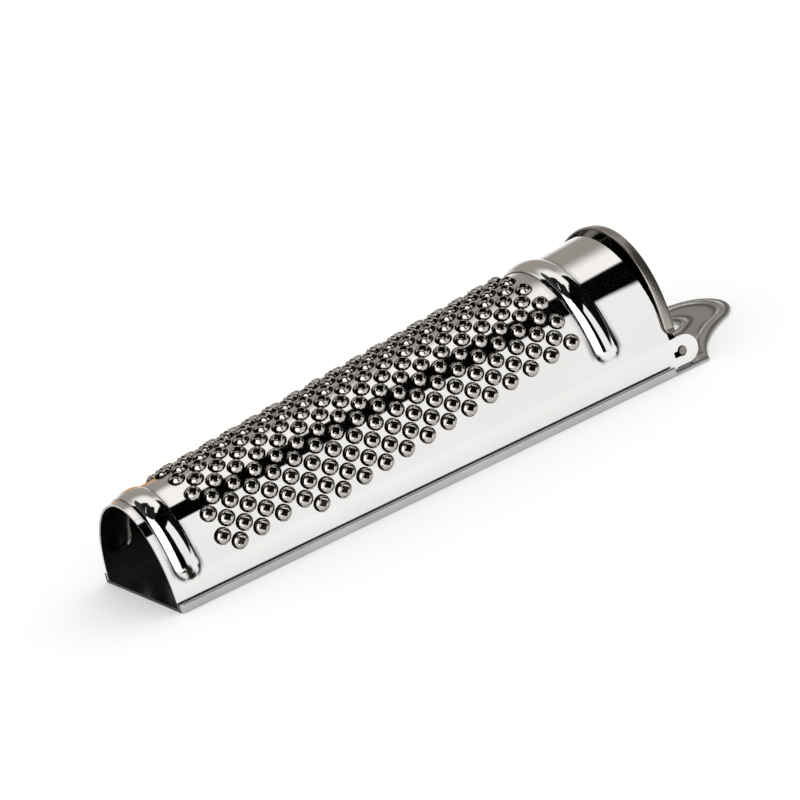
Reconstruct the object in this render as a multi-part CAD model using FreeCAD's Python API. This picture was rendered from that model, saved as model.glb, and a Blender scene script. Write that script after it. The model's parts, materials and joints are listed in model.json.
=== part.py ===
"""Hand nutmeg grater of stainless sheet, lying on its flat back.

An arched, tapered sheet is punched all over with grating teeth. A flat plate, folded over the
sheet's two flanges, closes its back and runs on past the wide end as a hanging tab. A floor across
the wide end makes a storage compartment, which a pressed lid closes. The lid turns on a wire pin
through two ears of the body.

Frame: X runs from the narrow open mouth to the hanging tab, Y across, Z up from the underside of
the back plate. Lengths along X below are counted from the mouth, and finish() moves the part so
that its origin lies under the middle of its length. Millimetres.
"""
import FreeCAD
import Part

import math
import os

from FreeCAD import Vector

# Overall
body_length = 113.7         # mouth to the rim of the compartment
tab_length = 26.3           # rim to the tip of the hanging tab
mouth_width = 26.8          # across the body at the mouth, outside
mouth_height = 19.4         # from the underside of the plate to the crown, at the mouth
rim_width = 40.4            # across the body at the rim, outside
rim_height = 25.4

# Sheet and wire
body_sheet = 0.5
plate_sheet = 0.6
lid_sheet = 0.5
floor_sheet = 0.5
catch_sheet = 0.3
pin_diameter = 1.7

# Folded seam between the body's flanges and the plate's hems
flange_width = 0.5          # beyond the body's wall
seam_clearance = 0.05
hem_setback = 1.3           # rim of the body to the end of the fold
stake_radius = 0.7          # half-round notch in each hem, staked to hold the body
stake_setback = 1.4         # mouth to the middle of the stake

# Punched teeth, on a lattice that is regular in the flat sheet
tooth_base = 3.1            # diameter where the burr leaves the sheet
tooth_crown = 1.7           # diameter at the top of the burr
tooth_height = 0.95
tooth_hole = 1.3            # diameter of the torn hole at the top
tooth_throat = 2.5          # diameter of the hollow under the burr, at the inside of the sheet
ring_pitch = 2.54           # between rows across the body
line_pitch = 2.47           # between lines along the body
first_ring = 12.4           # mouth to the first row
first_line = 4.95           # crown to the lattice's origin, in the first row
lattice_skew = 1.84         # degrees, the lattice runs slightly askew of the body
tooth_lines = 18            # lines of teeth along the body, cut short where the sheet is narrow
far_lines = 10              # how many of them lie on +Y of the lattice's origin
tooth_margin = 7.2          # least distance from a tooth's centre to the edge of the sheet
bead_margin = 3.5           # least distance from a tooth's centre to the wide bead

# Raised beads round the arch, pressed from inside
mouth_bead_place = 4.5
mouth_bead_height = 0.75
mouth_bead_foot = 5.0       # height above the ground at which the bead ends
compartment_depth = 13.2    # rim to the middle of the wide bead
floor_bead_height = 1.1
floor_bead_foot = 8.0
floor_clearance = 0.1       # compartment floor in the wide bead
bead_width = 5.4
bead_sections = 9

# Hinge: ears on the body, lugs on the lid, one wire pin
hinge_reach = 2.1           # rim to the pin's axis
hinge_height = 3.8          # underside of the plate to the pin's axis
ear_reach = 5.6             # rim to the end of the ears
ear_radius = 2.8
ear_hole = 2.1
ear_rise = 0.1              # centre of the ear's round end above the pin's axis
pin_touch = 0.01            # gap left where the pin bears on the ear's hole
key_notch_length = 0.9      # notch beside the ear's hole
key_notch_height = 1.2
key_notch_drop = 0.3
lug_radius = 2.0
lug_bore_clearance = 0.075  # radial, lid lug on pin
lug_gap = 0.45              # between the lugs and the inside of the ears
lug_root_height = 11.0      # where the lug's edge runs into the lid's face
lug_shoulder_height = 6.8

# Lid
lid_clearance = 0.3         # round the body, inside the skirt
lid_overlap = 1.2           # of the skirt over the body, when closed
lid_face_gap = 0.8          # rim to the inside of the lid's face, when closed
lid_corner = 0.9            # outside radius between face and skirt
skirt_foot = 7.7            # height at which the skirt ends, above the ears
neck_bottom = 1.4           # lower edge of the lid's face, above the plate
rest_angle = 8.5            # degrees by which the lid stands open at rest

# Snap catch: a bent strip welded inside the lid, which springs against the inside of the rim
catch_width = 3.0
catch_length = 6.0          # from the lid's face into the compartment, when closed
catch_leg = 5.0             # welded down the lid's face
catch_clearance = 0.35      # under the rim at the lid's end
catch_dip = 1.3             # fall of the strip towards its free end

# Hanging tab, its reaches counted from the rim
shoulder_reach = 6.6
tab_hole_reach = 11.8
tab_hole = 6.0
ring_outer = 10.0           # raised ring round the hole, outside diameter
emboss_height = 0.4
border_inset = 1.0          # edge of the tab to the raised border
border_width = 2.0
corner_radius = 1.0
waist_reach = 12.9          # where the side is most hollow
waist_half_width = 13.4
brow_reach = 20.7           # where the side swings round into the tip
brow_half_width = 8.2

# Values that follow from the ones above
total_length = body_length + tab_length
hinge_place = body_length + hinge_reach
shoulder_place = body_length + shoulder_reach
floor_bead_place = body_length - compartment_depth
floor_start = floor_bead_place - bead_width / 2
seam_height = 2 * plate_sheet + body_sheet + 2 * seam_clearance
hem_width = flange_width + seam_clearance + plate_sheet
hem_length = body_length - hem_setback
big = 4 * max(total_length, rim_width, rim_height)


# --- the tapered arch -------------------------------------------------------------------------

def half_width(x):
    """Half the body's outside width at the height of the ground, x from the mouth."""
    return (mouth_width + (rim_width - mouth_width) * x / body_length) / 2


def crown(x):
    """Height of the body's crown, outside."""
    return mouth_height + (rim_height - mouth_height) * x / body_length


def wall_y(x, z, inset=0.0):
    """Distance of the body's wall from the middle plane at height z, inset from outside."""
    across = half_width(x) - inset
    up = crown(x) - inset
    return across * math.sqrt(1 - (z / up) ** 2)


def ellipse_wire(x, across, up):
    """Closed ellipse in the plane at x, with its seam turned to the ground."""
    centre = Vector(x, 0, 0)
    if up >= across:
        curve = Part.Ellipse(Vector(x, 0, -up), Vector(x, across, 0), centre)
    else:
        curve = Part.Ellipse(Vector(x, -across, 0), Vector(x, 0, up), centre)
    return Part.Wire([curve.toShape()])


def arch(x0, x1, inset=0.0):
    """Tapered elliptic solid that follows the body from x0 to x1."""
    wires = [ellipse_wire(x, half_width(x) - inset, crown(x) - inset) for x in (x0, x1)]
    return Part.makeLoft(wires, True, True)


def tube(x0, x1, across, up):
    """Straight elliptic solid from x0 to x1."""
    face = Part.Face(ellipse_wire(x0, across, up))
    return face.extrude(Vector(x1 - x0, 0, 0))


def above(z):
    """Half-space above height z."""
    return Part.makeBox(big, big, big, Vector(-big / 2, -big / 2, z))


def block(x0, x1, y0, y1, z0, z1):
    """Box between two corners."""
    return Part.makeBox(x1 - x0, y1 - y0, z1 - z0, Vector(x0, y0, z0))


def wedge(x0, x1, inner, outer, z0, z1):
    """Strip beside the wall, inner and outer counted out from the body's outside, on +Y."""
    def corner(x, out):
        return Vector(x, half_width(x) + out, z0)
    corners = [corner(x0, inner), corner(x1, inner), corner(x1, outer), corner(x0, outer)]
    face = Part.Face(Part.makePolygon(corners + corners[:1]))
    return face.extrude(Vector(0, 0, z1 - z0))


def both_sides(shape):
    """The shape and its mirror image across the middle plane."""
    return [shape, shape.mirror(Vector(0, 0, 0), Vector(0, 1, 0))]


# --- grating teeth ----------------------------------------------------------------------------

def arch_length(x):
    """Length of the sheet round the arch at x, from foot to foot (Ramanujan's ellipse)."""
    a, b = half_width(x), crown(x)
    return math.pi / 2 * (3 * (a + b) - math.sqrt((3 * a + b) * (a + 3 * b)))


def point_on_arch(x, distance):
    """Point and outward normal on the outside, a distance round from the crown towards -Y."""
    a, b = half_width(x), crown(x)
    step = math.copysign(0.004, distance)
    angle = 0.0
    travelled = 0.0
    while travelled < abs(distance):
        middle = angle + step / 2
        travelled += math.hypot(a * math.cos(middle), b * math.sin(middle)) * abs(step)
        angle += step
    y, z = -a * math.sin(angle), b * math.cos(angle)
    widening = (rim_width - mouth_width) / 2 / body_length
    rising = (rim_height - mouth_height) / body_length
    slope = y * y * widening / a ** 3 + z * z * rising / b ** 3
    normal = Vector(-slope, y / a ** 2, z / b ** 2)
    normal.normalize()
    return Vector(x, y, z), normal


def tooth_places():
    """Points and normals of the teeth: every second point of a lattice on the flat sheet."""
    growth = (arch_length(body_length) - arch_length(0)) / body_length
    blank_radius = arch_length(0) / growth
    skew = math.radians(lattice_skew)
    rings = int((floor_start - bead_margin - first_ring) / ring_pitch) + 1
    places = []
    for ring in range(rings):
        for line in range(-far_lines, tooth_lines - far_lines):
            if (ring + line) % 2 == 0:
                continue
            along = ring * ring_pitch
            across = line * line_pitch
            flat_x = first_ring + along * math.cos(skew) + across * math.sin(skew)
            flat_y = first_line - along * math.sin(skew) + across * math.cos(skew)
            radius = math.hypot(blank_radius + flat_x, flat_y)
            x = radius - blank_radius
            distance = radius * math.atan2(flat_y, blank_radius + flat_x)
            if arch_length(x) / 2 - abs(distance) >= tooth_margin:
                places.append(point_on_arch(x, distance))
    return places


def burrs(places):
    """Raised burrs, rooted in the thickness of the sheet."""
    root = 0.7 * body_sheet
    taper = (tooth_base - tooth_crown) / 2 / tooth_height
    root_radius = tooth_base / 2 + taper * root
    solids = []
    for point, normal in places:
        start = point - normal * root
        solids.append(Part.makeCone(root_radius, tooth_crown / 2, root + tooth_height, start, normal))
    return solids


def punch_hollows(places):
    """Cutters for the hollow under each burr, which narrows to the hole at its top."""
    reach = 1.5 * body_sheet
    taper = (tooth_throat - tooth_hole) / 2 / (tooth_height + body_sheet)
    throat = tooth_throat / 2 + taper * (reach - body_sheet)
    tip = tooth_hole / 2 - taper * body_sheet
    length = reach + tooth_height + body_sheet
    return [Part.makeCone(throat, tip, length, point - normal * reach, normal)
            for point, normal in places]


# --- grater body ------------------------------------------------------------------------------

def bead(place, height, foot, inset=0.0):
    """Solid of a raised bead round the arch, down to its foot on each side."""
    wires = []
    for step in range(bead_sections):
        share = step / (bead_sections - 1)
        x = place + (share - 0.5) * bead_width
        rise = height * (1 - math.cos(2 * math.pi * share)) / 2 - inset
        wires.append(ellipse_wire(x, half_width(x) + rise, crown(x) + rise))
    return Part.makeLoft(wires, True, False).common(above(foot))


def ear():
    """Hinge ear on +Y: the wall runs on past the rim, with a round end, a hole and a notch."""
    end_x = body_length + ear_reach - ear_radius
    ear_z = hinge_height + ear_rise
    depth = rim_width
    shell = arch(body_length - body_sheet, body_length + ear_reach)
    shell = shell.cut(arch(body_length - 2 * body_sheet, body_length + 2 * ear_reach, body_sheet))
    bar = block(body_length - body_sheet, end_x, 0, depth, ear_z - ear_radius, ear_z + ear_radius)
    end = Part.makeCylinder(ear_radius, depth, Vector(end_x, 0, ear_z), Vector(0, 1, 0))
    return shell.common(bar.fuse(end))


def ear_cutter():
    """Hole and notch of an ear; the pin bears on the outer side of the hole."""
    depth = rim_width
    centre_x = hinge_place - (ear_hole - pin_diameter) / 2 + pin_touch
    hole = Part.makeCylinder(ear_hole / 2, depth, Vector(centre_x, 0, hinge_height), Vector(0, 1, 0))
    top = hinge_height - key_notch_drop + key_notch_height / 2
    left = centre_x - ear_hole / 2 - key_notch_length
    return hole.fuse(block(left, centre_x, 0, depth, top - key_notch_height, top))


def make_grater_body():
    outside = arch(0, body_length)
    hollow = arch(-body_sheet, body_length + body_sheet, body_sheet)
    beads = ((mouth_bead_place, mouth_bead_height, mouth_bead_foot),
             (floor_bead_place, floor_bead_height, floor_bead_foot))
    for place, height, foot in beads:
        outside = outside.fuse(bead(place, height, foot))
        hollow = hollow.fuse(bead(place, height, foot + body_sheet, body_sheet))
    sheet = outside.cut(hollow).common(above(plate_sheet))
    flange_top = plate_sheet + body_sheet
    flange = wedge(0, hem_length, -body_sheet, flange_width, plate_sheet, flange_top)
    sheet = sheet.multiFuse(both_sides(flange) + both_sides(ear()))
    sheet = sheet.cut(Part.makeCompound(both_sides(ear_cutter())))
    places = tooth_places()
    print("teeth:", len(places))
    return sheet.multiFuse(burrs(places)).cut(Part.makeCompound(punch_hollows(places)))


# --- back plate with hems and hanging tab -----------------------------------------------------

def plate_edge(x):
    """Half the plate's width, over its hems."""
    return half_width(x) + hem_width


def tab_outline():
    """Wire round the whole plate: straight tapered sides, ogee shoulders and a round tip."""
    def at(x, y):
        return Vector(x, y, 0)
    corner, shoulder = plate_edge(0), plate_edge(shoulder_place)
    waist, brow = body_length + waist_reach, body_length + brow_reach
    curves = [Part.LineSegment(at(0, corner), at(0, -corner)),
              Part.Arc(at(brow, -brow_half_width), at(total_length, 0), at(brow, brow_half_width))]
    for side in (-1, 1):
        curves.append(Part.LineSegment(at(0, side * corner), at(shoulder_place, side * shoulder)))
        curves.append(Part.Arc(at(shoulder_place, side * shoulder),
                               at(waist, side * waist_half_width),
                               at(brow, side * brow_half_width)))
    return Part.Wire(Part.__sortEdges__([curve.toShape() for curve in curves]))


def raised_border():
    """Ridge that follows the edge of the tab, from shoulder to shoulder."""
    outer = Part.Face(tab_outline().makeOffset2D(-border_inset))
    inner = Part.Face(tab_outline().makeOffset2D(-border_inset - border_width))
    ridge = outer.cut(inner).extrude(Vector(0, 0, plate_sheet + emboss_height))
    return ridge.common(block(shoulder_place - corner_radius, total_length, -rim_width, rim_width,
                              plate_sheet / 2, big))


def make_back_plate():
    plate = Part.Face(tab_outline()).extrude(Vector(0, 0, plate_sheet))
    corners = [edge for edge in plate.Edges if is_shoulder(edge)]
    plate = plate.makeFillet(corner_radius, corners)
    rise = plate_sheet + emboss_height
    middle = Vector(body_length + tab_hole_reach, 0, 0)
    ring = Part.makeCylinder(ring_outer / 2, rise, middle)
    inner = flange_width + seam_clearance
    outer_wall = wedge(0, hem_length, inner, hem_width, 0, seam_height)
    fold = wedge(0, hem_length, seam_clearance, hem_width, seam_height - plate_sheet, seam_height)
    fold = outer_wall.fuse(fold)
    stake = Part.makeCylinder(stake_radius, seam_height,
                              Vector(stake_setback, half_width(stake_setback), plate_sheet))
    hems = both_sides(fold.cut(stake))
    plate = plate.multiFuse(hems + [ring, raised_border()]).removeSplitter()
    return plate.cut(Part.makeCylinder(tab_hole / 2, rise, middle))


def is_shoulder(edge):
    """True for the upright edges at the two shoulders of the tab."""
    ends = [vertex.Point for vertex in edge.Vertexes]
    upright = len(ends) == 2 and abs(ends[0].z - ends[1].z) > plate_sheet / 2
    return upright and abs(ends[0].x - shoulder_place) < plate_sheet / 10


# --- compartment floor ------------------------------------------------------------------------

def make_compartment_floor():
    """Shallow pan across the arch, its flange sprung into the groove inside the wide bead."""
    inset = body_sheet + floor_clearance
    end = floor_start + bead_width
    outside = arch(floor_start, end, inset)
    outside = outside.fuse(bead(floor_bead_place, floor_bead_height, floor_bead_foot + inset, inset))
    inset = inset + floor_sheet
    inside = arch(floor_start, end + floor_sheet, inset)
    inside = inside.fuse(bead(floor_bead_place, floor_bead_height, floor_bead_foot + inset, inset))
    open_side = block(floor_start + floor_sheet, total_length, -rim_width, rim_width, 0, big)
    pan = outside.cut(inside.common(open_side))
    return pan.common(above(plate_sheet)).removeSplitter()


# --- lid, catch and pin -----------------------------------------------------------------------

def tilted(shape):
    """The lid's pieces are made closed, and turned open about the pin to their rest."""
    turned = shape.copy()
    turned.rotate(Vector(hinge_place, 0, hinge_height), Vector(0, 1, 0), rest_angle)
    return turned


def lug_outer():
    """Outer face of the lid's lugs, from the middle plane."""
    top = hinge_height + ear_rise + ear_radius
    return wall_y(body_length, top, body_sheet) - lug_gap


def lug():
    """Lug on +Y, bent outwards from the lid's face, with the pin's bore."""
    face_x = body_length + lid_face_gap
    outer_x = hinge_place + lug_radius
    y = lug_outer() - lid_sheet
    profile = [(face_x, lug_root_height), (face_x + lid_sheet, lug_root_height),
               (outer_x, lug_shoulder_height), (outer_x, hinge_height), (face_x, hinge_height)]
    corners = [Vector(x, y, z) for x, z in profile]
    gusset = Part.Face(Part.makePolygon(corners + corners[:1])).extrude(Vector(0, lid_sheet, 0))
    axis = Vector(hinge_place, y, hinge_height)
    across = Vector(0, 1, 0)
    boss = Part.makeCylinder(lug_radius, lid_sheet, axis, across)
    bore = Part.makeCylinder(pin_diameter / 2 + lug_bore_clearance, lid_sheet, axis, across)
    return gusset.fuse(boss).cut(bore)


def make_lid_cap():
    face_x = body_length + lid_face_gap
    outer_x = face_x + lid_sheet
    open_x = body_length - lid_overlap
    across = half_width(body_length) + lid_clearance
    up = crown(body_length) + lid_clearance
    cap = tube(open_x, outer_x, across + lid_sheet, up + lid_sheet)
    rim_edges = [edge for edge in cap.Edges
                 if abs(edge.BoundBox.XMin - outer_x) < lid_sheet / 10]
    cap = cap.makeFillet(lid_corner, rim_edges)
    hollow = tube(open_x - lid_sheet, face_x, across, up)
    cap = cap.cut(hollow).common(above(skirt_foot))
    neck = lug_outer()
    panel = block(face_x, outer_x, -neck, neck, neck_bottom, skirt_foot + lid_sheet)
    bore = Part.makeCylinder(pin_diameter / 2 + lug_bore_clearance, 2 * neck,
                             Vector(hinge_place, -neck, hinge_height), Vector(0, 1, 0))
    cap = cap.multiFuse([panel] + both_sides(lug())).cut(bore).removeSplitter()
    return tilted(cap)


def make_lid_catch():
    """Strip: a leg on the lid's face, a bend, and a springy tongue into the compartment."""
    face_x = body_length + lid_face_gap
    top = crown(body_length) - body_sheet - catch_clearance
    free_x = face_x - catch_length
    profile = [(face_x, top - catch_leg), (face_x, top), (free_x, top - catch_dip),
               (free_x, top - catch_dip - catch_sheet), (face_x - catch_sheet, top - catch_sheet),
               (face_x - catch_sheet, top - catch_leg)]
    corners = [Vector(x, -catch_width / 2, z) for x, z in profile]
    strip = Part.Face(Part.makePolygon(corners + corners[:1]))
    return tilted(strip.extrude(Vector(0, catch_width, 0)))


def make_hinge_pin():
    half = wall_y(hinge_place, hinge_height)
    return Part.makeCylinder(pin_diameter / 2, 2 * half, Vector(hinge_place, -half, hinge_height),
                             Vector(0, 1, 0))


# --- output -----------------------------------------------------------------------------------

def finish(name, shape):
    """Move a piece so that the origin lies under the middle of the length, and write it."""
    if shape.ShapeType == "Compound" and len(shape.Solids) == 1:
        shape = shape.Solids[0]
    placed = shape.copy()
    placed.translate(Vector(-total_length / 2, 0, 0))
    box = placed.optimalBoundingBox(False)
    print(f"{name}: {len(placed.Solids)} solid, valid {placed.isValid()}, "
          f"{placed.Volume:.1f} mm3, x {box.XMin:.2f}..{box.XMax:.2f}, "
          f"y {box.YMin:.2f}..{box.YMax:.2f}, z {box.ZMin:.2f}..{box.ZMax:.2f}")
    placed.exportStep(os.path.join("parts", name + ".step"))


pieces = {
    "grater_body": make_grater_body,
    "back_plate": make_back_plate,
    "compartment_floor": make_compartment_floor,
    "lid_cap": make_lid_cap,
    "lid_catch": make_lid_catch,
    "hinge_pin": make_hinge_pin,
}

os.makedirs("parts", exist_ok=True)
for name, make in pieces.items():
    finish(name, make())
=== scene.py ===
# %% [markdown]
# # A hand nutmeg grater of polished stainless sheet
# The grater is a sheet that is punched flat, rolled into a tapered arch and seamed to a flat back
# plate. This lesson makes it the same way: one punched cell, a lattice of cells, the roll, and then
# the cuts, the pressed beads and the gauge of the metal. The CAD model is loaded first and fixes
# where everything is. Its catch, pin and compartment floor are kept and only get their finish.

import json
import math
from functools import partial

import bmesh
import bpy
import numpy as np
from mathutils import Matrix, Vector

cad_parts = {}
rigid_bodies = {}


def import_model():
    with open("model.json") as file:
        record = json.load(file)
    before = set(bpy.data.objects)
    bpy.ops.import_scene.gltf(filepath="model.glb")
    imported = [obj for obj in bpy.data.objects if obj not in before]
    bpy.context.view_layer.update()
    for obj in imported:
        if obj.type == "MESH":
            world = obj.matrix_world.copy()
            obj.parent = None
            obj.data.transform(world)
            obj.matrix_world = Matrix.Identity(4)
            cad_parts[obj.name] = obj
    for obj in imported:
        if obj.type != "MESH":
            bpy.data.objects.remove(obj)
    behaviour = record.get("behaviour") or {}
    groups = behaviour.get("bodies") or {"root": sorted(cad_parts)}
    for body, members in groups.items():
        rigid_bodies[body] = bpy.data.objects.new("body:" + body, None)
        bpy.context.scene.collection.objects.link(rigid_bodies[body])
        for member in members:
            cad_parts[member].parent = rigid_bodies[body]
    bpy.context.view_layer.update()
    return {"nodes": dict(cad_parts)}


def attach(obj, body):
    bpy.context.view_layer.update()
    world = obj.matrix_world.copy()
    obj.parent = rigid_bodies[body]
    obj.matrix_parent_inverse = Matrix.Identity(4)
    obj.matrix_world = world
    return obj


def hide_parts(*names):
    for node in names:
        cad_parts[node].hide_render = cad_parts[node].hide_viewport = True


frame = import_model()
print("CAD nodes:", ", ".join(sorted(frame["nodes"])))

# %% [markdown]
# ## Sizes
# Blender works in metres, and a maker thinks in millimetres, so each size is written as a number of
# millimetres times mm. Lengths along the grater are counted from its open mouth.

# %% The grater's sizes
mm = 0.001
total_length = 140.0 * mm
body_length = 113.7 * mm
mouth_half_width, mouth_height = 13.4 * mm, 19.4 * mm
rim_half_width, rim_height = 20.2 * mm, 25.4 * mm
body_gauge = 0.5 * mm
plate_gauge = 0.6 * mm
hem_length = body_length - 1.3 * mm
hem_end = hem_length - total_length / 2
print("grater:", round(total_length / mm), "mm long, body", round(body_length / mm, 1), "mm")

# %% [markdown]
# ## Two small helpers
# Colours are chosen as sRGB hex values, as a paint chart gives them, and Blender's shaders expect
# linear light, so one function converts them. Node trees are wired with one function that makes a
# node, sets its properties, and fills each input with a value or a link. Sums come up all the time,
# so it takes a sum's operation and terms as they come.

# %% Colour and node helpers
def linear(hex_colour):
    """sRGB hex, such as "#E8E6E3", to a linear RGBA colour."""
    channels = [int(hex_colour[i:i + 2], 16) / 255 for i in (1, 3, 5)]
    return [c / 12.92 if c <= 0.04045 else ((c + 0.055) / 1.055) ** 2.4 for c in channels] + [1.0]


def add_node(tree, kind, settings=None, *values, **named):
    """Add a node. Its settings are a dictionary, or the name of its operation. Inputs are given in
    turn, by label in lower case, or by i0, i1 for their place. A node stands for its first output."""
    node = tree.nodes.new(kind)
    if isinstance(settings, str):
        settings = {"operation": settings}
    for name, value in (settings or {}).items():
        setattr(node, name, value)
    for name, value in [(f"i{k}", value) for k, value in enumerate(values)] + list(named.items()):
        if name[0] == "i" and name[1:].isdigit():
            socket = node.inputs[int(name[1:])]
        else:
            socket = next(s for s in node.inputs
                          if s.enabled and s.name.lower().replace(" ", "_") == name)
        if isinstance(value, bpy.types.Node):
            value = value.outputs[0]
        if isinstance(value, bpy.types.NodeSocket):
            tree.links.new(value, socket)
        else:
            socket.default_value = value
    return node


# %% [markdown]
# ## The steels
# Every piece is stainless steel, and they differ in how the surface was made. The body is cut from
# bright-annealed sheet and buffed, which leaves a near-perfect mirror with faint hairlines along the
# rolling direction and a slight waviness of the sheet, called orange peel. The lid is buffed less,
# and the back plate keeps the duller satin of the mill. Hairlines are really a few micrometres wide,
# too fine to show at this size, so they are drawn about 0.15 mm apart.

# %% Stainless steel, one builder for its finishes
hairline_length, hairline_pitch = 9 * mm, 0.15 * mm
cloud_size, wave_size = 14 * mm, 6 * mm


def stainless(name, colour, smear, roughness, grain, peel, tint="#8C877F", tint_share=0.0):
    """A steel: smear varies its roughness, grain is the depth of hairlines along X, peel its waves."""
    material = bpy.data.materials.new(name)
    material.use_nodes = True
    tree = material.node_tree
    steel = tree.nodes["Principled BSDF"]
    steel.inputs["Metallic"].default_value = 1.0
    add = partial(add_node, tree)
    place = add("ShaderNodeTexCoord").outputs["Object"]
    along = add("ShaderNodeMapping", vector=place,
                scale=(1 / hairline_length, 1 / hairline_pitch, 1 / hairline_pitch))
    hairlines = add("ShaderNodeTexNoise", vector=along, scale=1.0, detail=3.0)
    clouds = add("ShaderNodeTexNoise", vector=place, scale=1 / cloud_size, detail=2.0)
    blend = add("ShaderNodeMath", "MULTIPLY", hairlines, clouds)
    rough = add("ShaderNodeMapRange", value=blend, from_min=0.1, from_max=0.45,
                to_min=roughness - smear, to_max=roughness + smear)
    tree.links.new(rough.outputs[0], steel.inputs["Roughness"])
    share = add("ShaderNodeMapRange", value=clouds, from_min=0.35, from_max=0.7, to_max=tint_share)
    toned = add("ShaderNodeMix", {"data_type": "RGBA"}, i0=share, i6=linear(colour), i7=linear(tint))
    tree.links.new(toned.outputs[2], steel.inputs["Base Color"])
    waves = add("ShaderNodeTexNoise", vector=place, scale=1 / wave_size, detail=1.0)
    wavy = add("ShaderNodeBump", strength=1.0, distance=peel, height=waves)
    scored = add("ShaderNodeBump", strength=1.0, distance=grain, height=hairlines, normal=wavy)
    tree.links.new(scored.outputs[0], steel.inputs["Normal"])
    print("made", name)
    return material


# %% [markdown]
# ## Drawn metal and painted shade
# Two things darken the grater here. Where the punch stretched the sheet, the metal is duller, and
# its colour is a little darker as painted shade. And painted shade fills the creases: round the
# teeth's bases, along the beads, above the hems, along the tab's pressed lines and at the lid's
# corner. Both follow the shape, so the meshes below keep numbers at their points, one for the ring
# of a tooth and two for the painted shade, and the steels read them.

# %% Marks of the punch, and painted shade
def tone(material, share, colour):
    """Turn the base colour towards another one by a share."""
    tree = material.node_tree
    base = tree.nodes["Principled BSDF"].inputs["Base Color"]
    toned = add_node(tree, "ShaderNodeMix", {"data_type": "RGBA"}, i0=share,
                     i6=base.links[0].from_socket, i7=linear(colour))
    tree.links.new(toned.outputs[2], base)


def dull_and_shade_teeth(material, colour, added_roughness):
    """On the punched domes the drawn metal is duller, and a little darker as painted shade."""
    tree = material.node_tree
    roughness = tree.nodes["Principled BSDF"].inputs["Roughness"]
    ring = add_node(tree, "ShaderNodeAttribute", {"attribute_name": "ring"}).outputs["Fac"]
    drawn_and_shaded = add_node(tree, "ShaderNodeMapRange", value=ring, from_min=1.0, from_max=2.0)
    tone(material, drawn_and_shaded, colour)
    rough = add_node(tree, "ShaderNodeMath", "MULTIPLY_ADD", drawn_and_shaded, added_roughness,
                     roughness.links[0].from_socket)
    tree.links.new(rough.outputs[0], roughness)


# painted shade of the gap above the hems: where it starts, where it is full, and how dark
seam_shade_top, seam_shade_full, seam_shade_depth = 2.1 * mm, 1.95 * mm, 0.6


def paint_crease_shade(material, colour):
    """Painted shade in creases: round the teeth's sheltered side, at the beads and above the hems."""
    add = partial(add_node, material.node_tree)
    ring, compound, fold = (add("ShaderNodeAttribute", {"attribute_name": name}).outputs["Fac"]
                            for name in ("ring", "compound", "fold"))
    # painted shade at the teeth's bases, on their sheltered side
    near = add("ShaderNodeMapRange", value=ring, from_min=0.9, from_max=0.98)
    past = add("ShaderNodeMapRange", value=compound, from_min=-0.07, from_max=0.03)
    most = add("ShaderNodeMath", "MAXIMUM", add("ShaderNodeMath", "MULTIPLY", near, past), fold)
    place = add("ShaderNodeTexCoord").outputs["Object"]
    part = add("ShaderNodeSeparateXYZ", vector=place).outputs
    # painted shade of the gap above the hems, low on the wall along their length
    low = add("ShaderNodeMapRange", value=part["Z"], from_min=seam_shade_top, from_max=seam_shade_full,
              to_max=seam_shade_depth)
    hemmed = add("ShaderNodeMapRange", value=part["X"], from_min=hem_end, from_max=hem_end - mm)
    shade_above_hems = add("ShaderNodeMath", "MULTIPLY", low, hemmed)
    tone(material, add("ShaderNodeMath", "MAXIMUM", most, shade_above_hems), colour)


def paint_line_shade(material, colour):
    """Painted shade along pressed lines and at a corner, as the mesh keeps it at its points."""
    fold = add_node(material.node_tree, "ShaderNodeAttribute", {"attribute_name": "fold"})
    tone(material, fold.outputs["Fac"], colour)


# %% The grater's finishes
buffed_sheet = stainless("buffed_stainless_sheet", "#EEEDEC", 0.02, 0.045, 0.00025 * mm, 0.006 * mm,
                         tint_share=0.05)
# the domes: duller drawn metal, and darker as painted shade
dull_and_shade_teeth(buffed_sheet, "#BDB9B5", 0.02)
# near-black painted shade for the creases of the body's sheet
paint_crease_shade(buffed_sheet, "#1F1C1A")
# inside steel: unbuffed and rougher, and its dark colour is painted shade
unbuffed_and_shaded_inside = stainless("unbuffed_stainless_inside", "#5E5C5A", 0.05, 0.2, 0.002 * mm, 0.004 * mm,
                            tint_share=0.2)
# edge steel of the plate's front edge: its dark colour is painted shade
sheared_and_shaded_edge = stainless("sheared_stainless_edge", "#3E3C3A", 0.05, 0.4, 0.002 * mm, 0.004 * mm,
                         tint_share=0.2)
buffed_lid = stainless("buffed_stainless_lid", "#C2BDB7", 0.06, 0.3, 0.004 * mm, 0.012 * mm,
                       tint="#8A857F", tint_share=0.6)
# painted shade on the lid's corner
paint_line_shade(buffed_lid, "#35322F")
satin_plate = stainless("satin_stainless_plate", "#C2C2C2", 0.06, 0.24, 0.003 * mm, 0.004 * mm,
                        tint_share=0.25)
# painted shade along the tab's pressed lines
paint_line_shade(satin_plate, "#45423F")
mill_sheet = stainless("mill_finish_stainless_sheet", "#BDBBB7", 0.05, 0.3, 0.002 * mm, 0.004 * mm,
                       tint_share=0.3)
spring_strip = stainless("rolled_spring_steel_strip", "#CFCDC8", 0.04, 0.2, 0.001 * mm, 0.002 * mm,
                         tint_share=0.2)
drawn_wire = stainless("drawn_stainless_wire", "#85817B", 0.05, 0.22, 0.001 * mm, 0.001 * mm,
                       tint_share=0.4)

# %% [markdown]
# ## One punched cell
# A square-pointed punch pushes the flat sheet up into a steep little dome until it tears open in
# four petals. The teeth stand on every second point of a lattice, so each owns a rhombus of sheet,
# and a rhombus with its tooth is the cell that repeats. It could be cut into a finished arch with
# boolean holes, which breaks the mirror finish. A tiled cell keeps clean faces, and only about
# eighty of them. Its rim has the same sixteen points as a plain cell, so cells weld to each other.

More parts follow.
